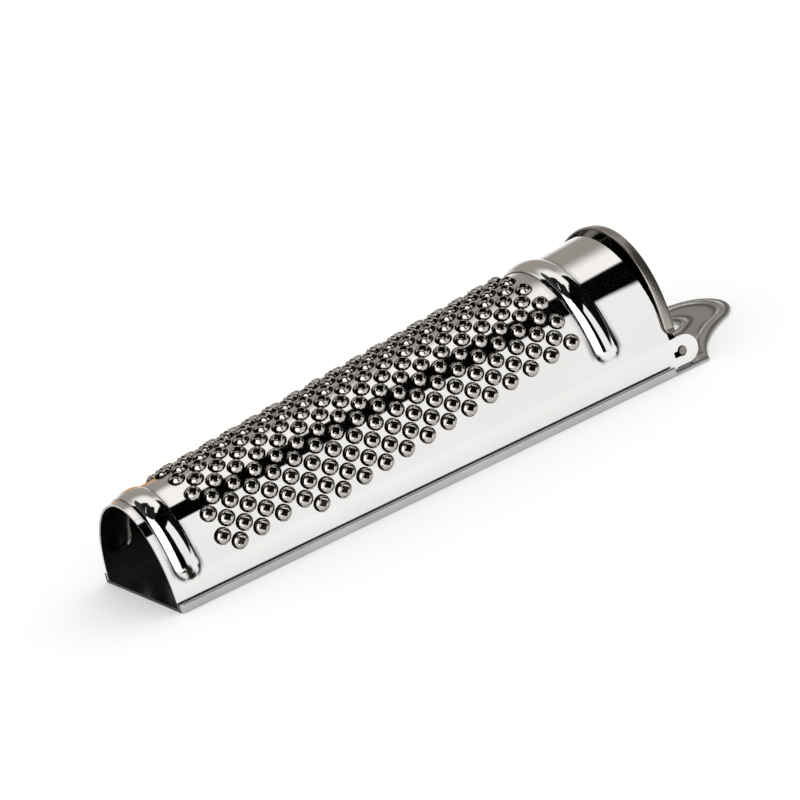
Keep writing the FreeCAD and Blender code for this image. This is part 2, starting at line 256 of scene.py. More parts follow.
# %% Sizes of the lattice and the tooth
row_pitch = 2.54 * mm
line_pitch = 2.47 * mm
first_row = 12.4 * mm
first_line = 4.95 * mm
lattice_skew = math.radians(1.84)
punched_rows = 33
punched_lines, far_lines = 18, 10
edge_margin = 7.2 * mm
cell_side_points = 4
tooth_rings = (
    # radius at a petal, radius at a tear, height at a petal, height at a tear
    (1.72, 1.72, 0.00, 0.00),
    (1.60, 1.60, 0.27, 0.27),
    (1.40, 1.38, 0.60, 0.55),
    (1.08, 1.12, 0.88, 0.77),
    (0.58, 0.92, 1.14, 0.88),
)
tooth_stretch = 1.04
# painted shade at each tooth's base: the least, and how much more on its sheltered side
least_base_shade, more_base_shade = 0.08, 0.24
tear_spread, tear_seed = 0.07, 7


def cell_mesh(name, punched):
    """A rhombus of flat sheet around one lattice point, plain or with its tooth."""
    n = cell_side_points
    around = 4 * n
    corners = [Vector((row_pitch, 0)), Vector((0, line_pitch)),
               Vector((-row_pitch, 0)), Vector((0, -line_pitch))]
    rim = [corners[side].lerp(corners[(side + 1) % 4], step / n)
           for side in range(4) for step in range(n)]
    cell = bmesh.new()
    ring_number = cell.verts.layers.float.new("ring")
    base_shade_layer = cell.verts.layers.float.new("compound")
    if punched:
        rings = [[cell.verts.new((p.x, p.y, 0)) for p in rim]]
        for number, (petal, tear, high, low) in enumerate(tooth_rings, 1):
            ring = []
            for k in range(around):
                angle = 2 * math.pi * k / around
                torn = abs(math.cos(2 * angle)) ** 3
                radius = (petal + (tear - petal) * torn) * mm
                height = (high + (low - high) * torn) * mm
                point = cell.verts.new((radius * tooth_stretch * math.cos(angle),
                                        radius / tooth_stretch * math.sin(angle), height))
                point[ring_number] = number
                # painted shade at the tooth's base, more on its sheltered side, fading up the dome
                sheltered = min(max((0.75 - math.sin(angle)) / 0.3, 0.0), 1.0)
                point[base_shade_layer] = (least_base_shade + sheltered * more_base_shade
                                        - (tooth_rings[0][0] - radius / mm))
                ring.append(point)
            rings.append(ring)
        for outer, inner in zip(rings, rings[1:]):
            for k in range(around):
                after = (k + 1) % around
                cell.faces.new((outer[k], outer[after], inner[after], inner[k]))
    else:
        grid = [[cell.verts.new((*(corners[3].lerp(corners[0], u / n)
                                   + corners[3].lerp(corners[2], v / n) - corners[3]), 0))
                 for v in range(n + 1)] for u in range(n + 1)]
        for u in range(n):
            for v in range(n):
                cell.faces.new((grid[u][v], grid[u + 1][v], grid[u + 1][v + 1], grid[u][v + 1]))
    mesh = bpy.data.meshes.new(name)
    cell.to_mesh(mesh)
    cell.free()
    print(name, "has", len(mesh.polygons), "faces")
    return bpy.data.objects.new(name, mesh)


plain_cell = cell_mesh("plain_cell", punched=False)
punched_cell = cell_mesh("punched_cell", punched=True)

# %% [markdown]
# ## Punch and roll, in Geometry Nodes
# The real sheet is punched flat and then rolled, so the node tree does the same. It lays a grid of
# lattice points, keeps every second one, decides which fall inside the margins and are punched, and
# sets a plain or a punched cell on each. The welded flat sheet is then rolled up: the blank of a
# tapered arch is part of a ring, so a point's distance from the ring's centre is its place along
# the grater, and its distance round the ring is its distance round the arch. The arch itself is
# sampled from two curves, one at the mouth and one at the rim.

# %% Node group for one end's arch
def arch_group():
    """Half ellipse in the YZ plane, from +Y over the crown to -Y, run on below by a reach angle."""
    tree = bpy.data.node_groups.new("arch_curve", "GeometryNodeTree")
    for name in ("Half Width", "Height", "Reach"):
        tree.interface.new_socket(name, in_out="INPUT", socket_type="NodeSocketFloat")
    tree.interface.new_socket("Curve", in_out="OUTPUT", socket_type="NodeSocketGeometry")
    tree.interface.new_socket("Length", in_out="OUTPUT", socket_type="NodeSocketFloat")
    add = partial(add_node, tree)
    given = add("NodeGroupInput").outputs
    start = add("ShaderNodeMath", "MULTIPLY", given["Reach"], -1.0)
    sweep = add("ShaderNodeMath", "MULTIPLY_ADD", given["Reach"], 2.0, math.pi)
    arc = add("GeometryNodeCurveArc", {"mode": "RADIUS"}, resolution=400, radius=1.0,
              start_angle=start, sweep_angle=sweep)
    part = add("ShaderNodeSeparateXYZ", vector=add("GeometryNodeInputPosition")).outputs
    spot = add("ShaderNodeCombineXYZ",
               y=add("ShaderNodeMath", "MULTIPLY", part["X"], given["Half Width"]),
               z=add("ShaderNodeMath", "MULTIPLY", part["Y"], given["Height"]))
    bent = add("GeometryNodeSetPosition", geometry=arc.outputs["Curve"], position=spot)
    add("NodeGroupOutput", curve=bent, length=add("GeometryNodeCurveLength", curve=bent))
    return tree


arch_curve = arch_group()
print("node group:", arch_curve.name, "with", len(arch_curve.nodes), "nodes")

# %% Node tree that punches and rolls the sheet
def punch_and_roll_tree():
    """The whole sheet, from the lattice of cells to the rolled arch."""
    tree = bpy.data.node_groups.new("punch_and_roll", "GeometryNodeTree")
    floats = ("Row Pitch", "Line Pitch", "First Row", "First Line", "Skew", "Edge Margin",
              "Mouth Half Width", "Mouth Height", "Rim Half Width", "Rim Height", "Body Length",
              "Start", "Tear Spread")
    tree.interface.new_socket("Geometry", in_out="INPUT", socket_type="NodeSocketGeometry")
    for name in floats:
        tree.interface.new_socket(name, in_out="INPUT", socket_type="NodeSocketFloat")
    for name in ("Rows", "Lines", "Far Lines", "Seed"):
        tree.interface.new_socket(name, in_out="INPUT", socket_type="NodeSocketInt")
    for name in ("Plain Cell", "Punched Cell"):
        tree.interface.new_socket(name, in_out="INPUT", socket_type="NodeSocketObject")
    tree.interface.new_socket("Steel", in_out="INPUT", socket_type="NodeSocketMaterial")
    tree.interface.new_socket("Geometry", in_out="OUTPUT", socket_type="NodeSocketGeometry")
    add = partial(add_node, tree)
    given = add("NodeGroupInput").outputs
    maths, vector_maths = "ShaderNodeMath", "ShaderNodeVectorMath"

    # the two arches, and the longer ones that reach below the plate
    ends = {}
    for end in ("Mouth", "Rim"):
        for reach in (0.0, 0.2):
            ends[end, reach] = add("GeometryNodeGroup", {"node_tree": arch_curve},
                                   half_width=given[end + " Half Width"],
                                   height=given[end + " Height"], reach=reach).outputs
    mouth_round, rim_round = ends["Mouth", 0.0]["Length"], ends["Rim", 0.0]["Length"]
    growth = add(maths, "DIVIDE", add(maths, "SUBTRACT", rim_round, mouth_round), given["Body Length"])
    ring_radius = add(maths, "DIVIDE", mouth_round, growth)

    def unrolled(flat_x, flat_y):
        """Of a point of the blank: place along the grater, distance round the arch, and its length."""
        far = add(maths, "ADD", flat_x, ring_radius)
        squares = [add(maths, "MULTIPLY", side, side) for side in (far, flat_y)]
        radius = add(maths, "SQRT", add(maths, "ADD", *squares))
        along = add(maths, "SUBTRACT", radius, ring_radius)
        round_arch = add(maths, "MULTIPLY", radius, add(maths, "ARCTAN2", flat_y, far))
        full = add(maths, "ADD", mouth_round, add(maths, "MULTIPLY", along, growth))
        return along, round_arch, full

    # lattice points, counted from the first punched row, with plain rows before and after the teeth
    rows, lines, before = 52, 41, 8
    grid = add("GeometryNodeMeshGrid", size_x=rows - 1.0, size_y=lines - 1.0,
               vertices_x=rows, vertices_y=lines).outputs["Mesh"]
    spot = add("ShaderNodeSeparateXYZ", vector=add("GeometryNodeInputPosition")).outputs
    row = add(maths, "ADD", spot["X"], (rows - 1) / 2)
    row = add(maths, "ROUND", add(maths, "SUBTRACT", row, float(before)))
    line = add(maths, "ROUND", spot["Y"])
    even = add(maths, "LESS_THAN", add(maths, "FLOORED_MODULO", add(maths, "ADD", row, line), 2.0), 0.5)
    marked = grid
    for name, number in (("row", row), ("line", line)):
        marked = add("GeometryNodeStoreNamedAttribute", {"data_type": "FLOAT"},
                     geometry=marked, name=name, value=number)
    points = add("GeometryNodeDeleteGeometry", geometry=marked, selection=even)
    along = add(maths, "MULTIPLY", row, given["Row Pitch"])
    across = add(maths, "MULTIPLY", line, given["Line Pitch"])
    cosine, sine = add(maths, "COSINE", given["Skew"]), add(maths, "SINE", given["Skew"])
    turned_x = add(maths, "ADD", add(maths, "MULTIPLY", along, cosine),
                   add(maths, "MULTIPLY", across, sine))
    turned_y = add(maths, "SUBTRACT", add(maths, "MULTIPLY", across, cosine),
                   add(maths, "MULTIPLY", along, sine))
    lattice_place = add("ShaderNodeCombineXYZ", x=add(maths, "ADD", given["First Row"], turned_x),
                        y=add(maths, "ADD", given["First Line"], turned_y))
    points = add("GeometryNodeSetPosition", geometry=points, position=lattice_place)

    # punched where row and line are inside the field and the margin to the sheet's edge is kept
    row, line = (add("GeometryNodeInputNamedAttribute", {"data_type": "FLOAT"}, name=name)
                 for name in ("row", "line"))
    spot = add("ShaderNodeSeparateXYZ", vector=add("GeometryNodeInputPosition")).outputs
    _, round_arch, full = unrolled(spot["X"], spot["Y"])
    room = add(maths, "SUBTRACT", add(maths, "MULTIPLY", full, 0.5), add(maths, "ABSOLUTE", round_arch))
    in_margin = add(maths, "GREATER_THAN", room, given["Edge Margin"])
    in_rows = add(maths, "MULTIPLY", add(maths, "GREATER_THAN", row, -0.5),
                  add(maths, "LESS_THAN", row, add(maths, "SUBTRACT", given["Rows"], 0.5)))
    line_number = add(maths, "ADD", line, given["Far Lines"])
    in_lines = add(maths, "MULTIPLY", add(maths, "GREATER_THAN", line_number, -0.5),
                   add(maths, "LESS_THAN", line_number, add(maths, "SUBTRACT", given["Lines"], 0.5)))
    punched = add(maths, "MULTIPLY", in_margin, add(maths, "MULTIPLY", in_rows, in_lines))
    shift = add("FunctionNodeRandomValue", {"data_type": "FLOAT_VECTOR"},
                min=(-1, -1, -1), max=(1, 1, 1), seed=given["Seed"])
    points = add("GeometryNodeStoreNamedAttribute", {"data_type": "FLOAT_VECTOR"},
                 geometry=points, name="shift", value=shift)

    # one cell on each point
    kinds = add("GeometryNodeJoinGeometry")
    for name in ("Punched Cell", "Plain Cell"):
        source = add("GeometryNodeObjectInfo", {"transform_space": "ORIGINAL"}, object=given[name])
        wrapped = add("GeometryNodeGeometryToInstance", geometry=source.outputs["Geometry"])
        tree.links.new(wrapped.outputs[0], kinds.inputs[0])
    turn = add("ShaderNodeCombineXYZ", z=add(maths, "MULTIPLY", given["Skew"], -1.0))
    cells = add("GeometryNodeInstanceOnPoints", points=points, instance=kinds, pick_instance=True,
                instance_index=punched, rotation=turn)
    sheet = add("GeometryNodeRealizeInstances", geometry=cells)
    sheet = add("GeometryNodeMergeByDistance", geometry=sheet, distance=0.02 * mm)

    # no two punches tear alike: shift each tooth's open end a little
    spot = add("ShaderNodeSeparateXYZ", vector=add("GeometryNodeInputPosition")).outputs
    shift = add("GeometryNodeInputNamedAttribute", {"data_type": "FLOAT_VECTOR"}, name="shift")
    torn = add(maths, "MULTIPLY", spot["Z"], given["Tear Spread"])
    sheet = add("GeometryNodeSetPosition", geometry=sheet,
                offset=add(vector_maths, "SCALE", shift, scale=torn))

    # roll the sheet up over the two arches
    spot = add("ShaderNodeSeparateXYZ", vector=add("GeometryNodeInputPosition")).outputs
    along, round_arch, full = unrolled(spot["X"], spot["Y"])
    share = add(maths, "DIVIDE", along, given["Body Length"])
    turned = add(maths, "DIVIDE", round_arch, full)
    sampled = []
    for end in ("Mouth", "Rim"):
        short, long = ends[end, 0.0], ends[end, 0.2]
        shorter = add(maths, "DIVIDE", short["Length"], long["Length"])
        factor = add(maths, "ADD", 0.5, add(maths, "MULTIPLY", turned, shorter))
        sampled.append(add("GeometryNodeSampleCurve", {"mode": "FACTOR", "data_type": "FLOAT"},
                           curves=long["Curve"], factor=factor).outputs)
    mixes = {}
    for quality in ("Position", "Tangent"):
        change = add(vector_maths, "SUBTRACT", sampled[1][quality], sampled[0][quality])
        mixes[quality] = add(vector_maths, "ADD", sampled[0][quality],
                             add(vector_maths, "SCALE", change, scale=share))
    gap = add(vector_maths, "SUBTRACT", sampled[1]["Position"], sampled[0]["Position"])
    lengthwise = add(vector_maths, "ADD", gap, add("ShaderNodeCombineXYZ", x=given["Body Length"]))
    outward = add(vector_maths, "CROSS_PRODUCT", mixes["Tangent"], lengthwise)
    outward = add(vector_maths, "NORMALIZE", outward)
    raised = add(vector_maths, "SCALE", outward, scale=spot["Z"])
    onward = add("ShaderNodeCombineXYZ", x=add(maths, "ADD", along, given["Start"]))
    rolled = add(vector_maths, "ADD", add(vector_maths, "ADD", mixes["Position"], onward), raised)
    sheet = add("GeometryNodeSetPosition", geometry=sheet, position=rolled)
    sheet = add("GeometryNodeRealizeInstances", geometry=sheet)
    sheet = add("GeometryNodeSetMaterial", geometry=sheet, material=given["Steel"])
    add("NodeGroupOutput", geometry=sheet)
    print("node group:", tree.name, "with", len(tree.nodes), "nodes")
    return tree


punch_and_roll = punch_and_roll_tree()

# %% Run the tree and keep the sheet as a plain mesh
def run_tree(name, tree, inputs):
    """A plain mesh object from a node tree on an empty mesh."""
    carrier = bpy.data.objects.new(name, bpy.data.meshes.new(name))
    bpy.context.scene.collection.objects.link(carrier)
    modifier = carrier.modifiers.new("make", "NODES")
    modifier.node_group = tree
    for item in tree.interface.items_tree:
        if item.in_out == "INPUT" and item.name in inputs:
            modifier[item.identifier] = inputs[item.name]
    evaluated = carrier.evaluated_get(bpy.context.evaluated_depsgraph_get())
    mesh = bpy.data.meshes.new_from_object(evaluated)
    carrier.modifiers.clear()
    carrier.data = mesh
    print(name, "came out with", len(mesh.polygons), "faces")
    return carrier


body = run_tree("toothed_body", punch_and_roll, {
    "Row Pitch": row_pitch, "Line Pitch": line_pitch, "First Row": first_row,
    "First Line": first_line, "Skew": lattice_skew, "Edge Margin": edge_margin,
    "Mouth Half Width": mouth_half_width, "Mouth Height": mouth_height,
    "Rim Half Width": rim_half_width, "Rim Height": rim_height, "Body Length": body_length,
    "Start": -total_length / 2, "Tear Spread": tear_spread, "Rows": punched_rows,
    "Lines": punched_lines, "Far Lines": far_lines, "Seed": tear_seed,
    "Plain Cell": plain_cell, "Punched Cell": punched_cell, "Steel": buffed_sheet})

# %% [markdown]
# ## Trim the toothed field
# The tree makes more sheet than is needed. Three planes trim it: one near the mouth and one near
# the wide bead, where the teeth end, and one where the wall meets the plate.

# %% Trim the sheet
snap = 0.002 * mm


def trim(work, point, normal):
    """Cut away what lies beyond a plane."""
    everything = work.verts[:] + work.edges[:] + work.faces[:]
    bmesh.ops.bisect_plane(work, geom=everything, dist=snap, plane_co=point, plane_no=normal,
                           clear_outer=True)


mouth_x = -total_length / 2
rim_x = mouth_x + body_length
field_start, field_end = 9.5 * mm, 96.6 * mm
work = bmesh.new()
work.from_mesh(body.data)
trim(work, (mouth_x + field_start, 0, 0), (-1, 0, 0))
trim(work, (mouth_x + field_end, 0, 0), (1, 0, 0))
trim(work, (0, 0, plate_gauge), (0, 0, -1))
bmesh.ops.reverse_faces(work, faces=work.faces[:])
print("toothed field:", len(work.faces), "faces")

# %% [markdown]
# ## Smooth ends with pressed beads
# The two ends of the sheet have no teeth, but each has a raised bead round the arch. A bead stiffens
# the sheet, and the wide one also seats the compartment's floor. Its reflections run in long thin
# stripes, which only come out straight where the faces run along the bead too. So each end is a net
# of its own: it starts from the trimmed edge's points, and goes on in columns to the sheet's end,
# closer together where the bead's foot turns sharply.

# %% Shape of the arch and of the beads
def arch_half(x):
    """Half width of the arch at the ground, x from the mouth."""
    return mouth_half_width + (rim_half_width - mouth_half_width) * x / body_length


def arch_crown(x):
    """Height of the arch's crown, x from the mouth."""
    return mouth_height + (rim_height - mouth_height) * x / body_length


def arch_normal(x, y, z):
    """Outward direction of the tapered arch at points on it, x from the mouth."""
    half, high = arch_half(x), arch_crown(x)
    widening = (rim_half_width - mouth_half_width) / body_length
    rising = (rim_height - mouth_height) / body_length
    normal = np.stack([-(y * y * widening / half ** 3 + z * z * rising / high ** 3),
                       y / half ** 2, z / high ** 2], axis=-1)
    return normal / np.linalg.norm(normal, axis=-1, keepdims=True)


bead_shapes = (
    # place of the ridge, left half, right half, height, foot above the ground
    (4.5 * mm, 2.8 * mm, 2.5 * mm, 0.75 * mm, 5.0 * mm),
    (100.5 * mm, 2.7 * mm, 2.7 * mm, 1.1 * mm, 8.0 * mm),
)
foot_softness = 0.03


def off_ridge(x, z, bead):
    """Distance from a bead's ridge, and aside alone, where 1 is its foot, and where its end starts."""
    place, left, right, _, foot = bead
    aside = np.where(x < place, (place - x) / left, (x - place) / right)
    round_end = foot + (left + right) / 2
    below = np.clip((round_end - z) / (round_end - foot), 0, None)
    return np.hypot(aside, below), aside, round_end


def bead_rise(x, z):
    """Height of the beads above the plain arch: a flattened half round with rounded ends."""
    rise = np.zeros_like(x)
    soft = math.sqrt(foot_softness)
    for bead in bead_shapes:
        height = bead[3]
        off = np.clip(off_ridge(x, z, bead)[0], 0, 1)
        rise += height * (np.sqrt(1 - off ** 2 * (1 - foot_softness)) - soft) / (1 - soft)
    return rise


# %% Columns of the two nets
def columns(start, stop, bead):
    """Places of the columns from start to stop, dense across the bead and densest at its feet."""
    place, left, right = bead[:3]
    outside, plain_step = 0.12 * mm, 0.9 * mm
    turns = [math.cos(math.pi * k / 26) for k in range(27)]
    across = [place - (left if turn > 0 else right) * turn for turn in turns]
    inside = [place - left - outside] + across + [place + right + outside]
    low, high = min(start, stop), max(start, stop)
    before = np.linspace(low, inside[0], max(2, round((inside[0] - low) / plain_step) + 1))[:-1]
    after = np.linspace(inside[-1], high, max(2, round((high - inside[-1]) / plain_step) + 1))[1:]
    ordered = [*before, *inside, *after]
    return ordered if start < stop else ordered[::-1]


def add_end_net(work, start, stop, bead):
    """Carry the trimmed edge at start on to stop, over the bead."""
    longest, nearly = 0.36 * mm, 0.003 * mm

    def at_start(edge):
        return edge.is_boundary and all(abs(v.co.x - mouth_x - start) < nearly for v in edge.verts)

    for edge in [e for e in work.edges if at_start(e)]:
        cuts = math.ceil(edge.calc_length() / longest) - 1
        if cuts > 0:
            bmesh.ops.subdivide_edges(work, edges=[edge], cuts=cuts)
    loop = {v for edge in work.edges if at_start(edge) for v in edge.verts}

    def turn(vert):
        return math.atan2(vert.co.y / arch_half(start), vert.co.z / arch_crown(start))
    loop = sorted(loop, key=turn)
    turns = np.array([turn(vert) for vert in loop])
    places = columns(start, stop, bead)
    last = loop
    faces = 0
    for x in places[1:]:
        half, high = arch_half(x), arch_crown(x)
        angles = turns * (math.acos(plate_gauge / high) / math.acos(plate_gauge / arch_crown(start)))
        y, z = half * np.sin(angles), high * np.cos(angles)
        along = np.full_like(y, x)
        points = np.stack([along + mouth_x, y, z], axis=1)
        points += arch_normal(along, y, z) * bead_rise(along, z)[:, None]
        fresh = [work.verts.new(point) for point in points]
        for k in range(len(loop) - 1):
            quad = (last[k], last[k + 1], fresh[k + 1], fresh[k])
            work.faces.new(quad[::-1] if stop > start else quad)
            faces += 1
        last = fresh
    return faces


net_sizes = [add_end_net(work, field_start, 0.0, bead_shapes[0]),
             add_end_net(work, field_end, body_length, bead_shapes[1])]
for face in work.faces:
    face.normal_update()
print("nets at the ends:", net_sizes, "faces")

# %% [markdown]
# ## Hinge ears
# The sheet runs on past the rim in two ears, with a hole for the hinge's wire and a small square
# notch beside it. An ear is cut from flat sheet like the blank: a side outline with a hole, divided
# into strips, and then bent to the arch's curve.

# %% Add the two ears
hinge_from_rim, hinge_height = 2.1 * mm, 3.8 * mm
ear_reach, ear_radius, ear_rise = 5.6 * mm, 2.8 * mm, 0.1 * mm
ear_hole_radius = 1.05 * mm
hole_from_rim = 1.91 * mm
notch_length, notch_height, notch_drop = 0.9 * mm, 1.2 * mm, 0.3 * mm


def ear_outline():
    """Side view of an ear, as points (from the rim, height)."""
    centre_x, centre_z = ear_reach - ear_radius, hinge_height + ear_rise
    turn = [math.radians(-90 + 180 * k / 24) for k in range(25)]
    arc = [(centre_x + ear_radius * math.cos(t), centre_z + ear_radius * math.sin(t)) for t in turn]
    return [(0.0, centre_z - ear_radius)] + arc + [(0.0, centre_z + ear_radius)]


def hole_outline():
    """Side view of the pin's hole, with the notch on the side of the rim."""
    top = hinge_height - notch_drop + notch_height / 2
    low = top - notch_height
    left = max(hole_from_rim - ear_hole_radius - notch_length, 0.03 * mm)
    start = math.asin((top - hinge_height) / ear_hole_radius)
    end = math.asin((low - hinge_height) / ear_hole_radius)
    sweep = [math.pi - start - (2 * math.pi - start + end) * k / 28 for k in range(29)]
    arc = [(hole_from_rim + ear_hole_radius * math.cos(t), hinge_height + ear_hole_radius * math.sin(t))
           for t in sweep]
    return arc + [(left, low), (left, top)]


def add_ear(work, side):
    """Fill the outline, slice it into strips and bend it to the wall on one side."""
    loops = []
    for outline in (ear_outline(), hole_outline()):
        verts = [work.verts.new((rim_x + x, 0, z)) for x, z in outline]
        loops += [work.edges.new((a, b)) for a, b in zip(verts, verts[1:] + verts[:1])]
    filled = bmesh.ops.triangle_fill(work, edges=loops, use_beauty=True)["geom"]
    patch = [item for item in filled if isinstance(item, bmesh.types.BMFace)]
    geometry = patch + list({e for f in patch for e in f.edges}) + list({v for f in patch for v in f.verts})
    strip = 0.62 * mm
    for k in range(1, 9):
        cut = bmesh.ops.bisect_plane(work, geom=geometry, dist=snap, plane_no=(0, 0, 1),
                                     plane_co=(0, 0, hinge_height - ear_radius + strip * k))
        geometry = list({*cut["geom"], *cut["geom_cut"]})
    faces = [item for item in geometry if isinstance(item, bmesh.types.BMFace)]
    for vert in {v for f in faces for v in f.verts}:
        x = vert.co.x - mouth_x
        vert.co.y = side * arch_half(x) * math.sqrt(1 - (vert.co.z / arch_crown(x)) ** 2)
    for face in faces:
        face.normal_update()
        if face.normal.y * side < 0:
            face.normal_flip()
    return len(faces)


print("ear faces:", [add_ear(work, side) for side in (-1, 1)])

# %% [markdown]
# ## The gauge of the metal
# The skin so far is the outside of the sheet. Solidify gives it its 0.5 mm gauge inwards. Punching
# thins the metal towards the torn lips, so a vertex group scales the thickness there.

# %% Thickness
ring_layer = work.verts.layers.float["ring"]
for face in work.faces:
    face.smooth = True
rings = [round(vert[ring_layer]) for vert in work.verts]
work.to_mesh(body.data)
work.free()
gauge = body.vertex_groups.new(name="gauge")
thinned = {0: 1.0, 1: 1.0, 2: 0.7, 3: 0.45, 4: 0.3, 5: 0.2}
for ring, share in thinned.items():
    members = [index for index, number in enumerate(rings) if number == ring]
    gauge.add(members, share, "REPLACE")
body.data.materials.clear()
body.data.materials.append(buffed_sheet)
# the inner skin wears the inside steel, whose dark colour is painted shade
body.data.materials.append(unbuffed_and_shaded_inside)
thickness = body.modifiers.new("gauge", "SOLIDIFY")
thickness.thickness = body_gauge
thickness.offset = -1.0
thickness.vertex_group = "gauge"
thickness.material_offset = 1
solid = bpy.data.meshes.new_from_object(body.evaluated_get(bpy.context.evaluated_depsgraph_get()))
body.modifiers.clear()
body.vertex_groups.clear()
body.data = solid
print("toothed body:", sum(len(face.vertices) - 2 for face in solid.polygons), "triangles")

# %% [markdown]
# ## A true mirror between the teeth
# A polished sheet shows every bend of its surface, and the small flat faces round each tooth would
# break its reflections up. The sheet's true direction is known at every point, because it is a
# tapered arch with two beads, so the faces of the sheet get these directions as custom normals. The
# domes keep the smooth normals of their own faces, with a crease where they leave the sheet.

# %% Directions of the sheet
def sheet_normal(places):
    """Outward direction of the beaded sheet at points on it."""
    x, y, z = places[:, 0] - mouth_x, places[:, 1], places[:, 2]
    plain = arch_normal(x, y, z)
    round_arch = np.cross(plain, (1.0, 0.0, 0.0))
    round_arch /= np.linalg.norm(round_arch, axis=1, keepdims=True)
    along = np.cross(round_arch, plain)
    tilt = np.zeros_like(plain)
    small = 0.05 * mm
    for way in (round_arch, along):
        ahead = bead_rise(x + small * way[:, 0], z + small * way[:, 2])
        behind = bead_rise(x - small * way[:, 0], z - small * way[:, 2])
        tilt += way * ((ahead - behind) / (2 * small))[:, None]
    normal = plain - tilt
    return normal / np.linalg.norm(normal, axis=1, keepdims=True)


def points_of(mesh):
    """Places of a mesh's points."""
    places = np.zeros(len(mesh.vertices) * 3)
    mesh.vertices.foreach_get("co", places)
    return places.reshape(-1, 3)


def rings_of(mesh):
    """Which ring of a tooth each point is on: 0 is the sheet between the teeth."""
    ring = np.zeros(len(mesh.vertices))
    mesh.attributes["ring"].data.foreach_get("value", ring)
    return ring


def set_sheet_normals(mesh):
    """Custom normals: true on both skins, rounded over the cut edges, smooth on the domes."""
    edge_on, roundness = 0.6, 0.8
    corners = np.zeros(len(mesh.loops), dtype=int)
    mesh.loops.foreach_get("vertex_index", corners)
    places, ring = points_of(mesh), rings_of(mesh)
    outward = sheet_normal(places)
    normals = np.zeros((len(corners), 3))
    for face in mesh.polygons:
        loops = np.arange(face.loop_start, face.loop_start + face.loop_total)
        points = corners[loops]
        if ring[points].max() > 1.5:
            continue
        flat = np.array(face.normal)
        facing = float(outward[points].mean(axis=0) @ flat)
        if abs(facing) > edge_on:
            normals[loops] = outward[points] * np.sign(facing)
            continue
        depth = np.einsum("ij,ij->i", places[points] - places[points].mean(axis=0), outward[points])
        normals[loops] = flat + roundness * outward[points] * np.sign(depth)[:, None]
    mesh.normals_split_custom_set(normals)


# %% [markdown]
# ## Painted shade at the beads
# A thin line of painted shade runs along each bead's foot, and gets wider towards the ends of the
# bead, and small thick spots of painted reflection sit where the bead runs out. Each point of the
# mesh keeps how much it has, as a number that the steel reads.

# %% Amount of painted shade at a point
end_shade_spots = (
    # painted reflections at the bead's ends, in mm: from the ridge, above the foot, half width and height
    ((0.0, 0.7, 0.95, 0.8), (-0.3, 1.9, 0.75, 1.1), (-0.65, 3.8, 0.45, 1.7),
     (2.0, 1.7, 0.35, 0.6)),
    ((-2.3, 1.4, 0.35, 0.6), (2.25, 2.4, 0.45, 1.7), (1.7, 1.0, 0.45, 0.45)),
)


def bead_shade(places):
    """Painted shade and reflection on the sheet: along the beads' feet, and thick at their ends."""
    x, z = places[:, 0] - mouth_x, places[:, 2]
    painted_bead_shade = np.zeros(len(places))
    for bead, spots in zip(bead_shapes, end_shade_spots):
        off, aside, round_end = off_ridge(x, z, bead)
        towards_end = np.clip((round_end + 3 * mm - z) / (5 * mm), 0, 1)
        width = 0.04 + 0.1 * towards_end
        line = np.exp(-((off - 1) / width) ** 2) * np.clip((aside - 0.35) / 0.3, 0, 1)
        painted_bead_shade = np.maximum(painted_bead_shade, line)
        for across, up, half_across, half_up in spots:
            off = np.hypot((x - bead[0] - across * mm) / (half_across * mm),
                           (z - bead[4] - up * mm) / (half_up * mm))
            painted_bead_shade = np.maximum(painted_bead_shade, np.clip((1.25 - off) / 0.5, 0, 1))
    return painted_bead_shade


# %% Finish the body's mesh
# painted shade and reflection of the beads, at each point of the body
fold = solid.attributes.new("fold", "FLOAT", "POINT")
fold.data.foreach_set("value", bead_shade(points_of(solid)))
ring_numbers = rings_of(solid).round()
for edge in solid.edges:
    if all(ring_numbers[point] == 1 for point in edge.vertices):
        edge.use_edge_sharp = True
set_sheet_normals(solid)
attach(body, "grater")
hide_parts("grater_body")
print("custom normals:", solid.has_custom_normals)

# %% [markdown]
# ## Back plate and hanging tab
# The plate is folded up and over the body's flanges in two hems, and runs on as a tab to hang the
# grater by. The hems are swept from one rounded profile. The tab is a net of spokes between its
# outline and the rim of its hole, so that every row of faces runs along a pressed line.

# %% Sizes of the plate
flange_width, seam_clearance = 0.5 * mm, 0.05 * mm
seam_height = 1.8 * mm
hem_width = flange_width + seam_clearance + plate_gauge
shoulder_x = body_length + 6.6 * mm
waist = (body_length + 12.9 * mm, 13.4 * mm)
brow = (body_length + 20.7 * mm, 8.2 * mm)
hole_x, hole_radius = body_length + 11.8 * mm, 3.0 * mm
emboss = 0.4 * mm
# the ridges pressed along the edge and round the hole: how far away each is, and its half width
edge_ridge, ring_ridge = (1.9 * mm, 1.2 * mm), (1.0 * mm, 1.15 * mm)
inside_box = 0.02 * mm
stake_x, stake_radius = 1.4 * mm, 0.7 * mm
corner_radius = 0.7 * mm


def circle_through(a, b, c):
    """Centre and radius of the circle through three points."""
    (ax, ay), (bx, by), (cx, cy) = a, b, c
    a2, b2, c2 = ax * ax + ay * ay, bx * bx + by * by, cx * cx + cy * cy
    d = 2 * (ax * (by - cy) + bx * (cy - ay) + cx * (ay - by))
    x = (a2 * (by - cy) + b2 * (cy - ay) + c2 * (ay - by)) / d
    y = (a2 * (cx - bx) + b2 * (ax - cx) + c2 * (bx - ax)) / d
    return (x, y), math.dist((x, y), a)


def arc_points(a, b, c, count):
    """Points along the arc from a through b to c, without the last."""
    (x, y), radius = circle_through(a, b, c)
    start, middle, end = (math.atan2(p[1] - y, p[0] - x) for p in (a, b, c))
    sweep = (end - start) % (2 * math.pi)
    if (middle - start) % (2 * math.pi) > sweep:
        sweep -= 2 * math.pi
    return [(x + radius * math.cos(start + sweep * k / count),
             y + radius * math.sin(start + sweep * k / count)) for k in range(count)]


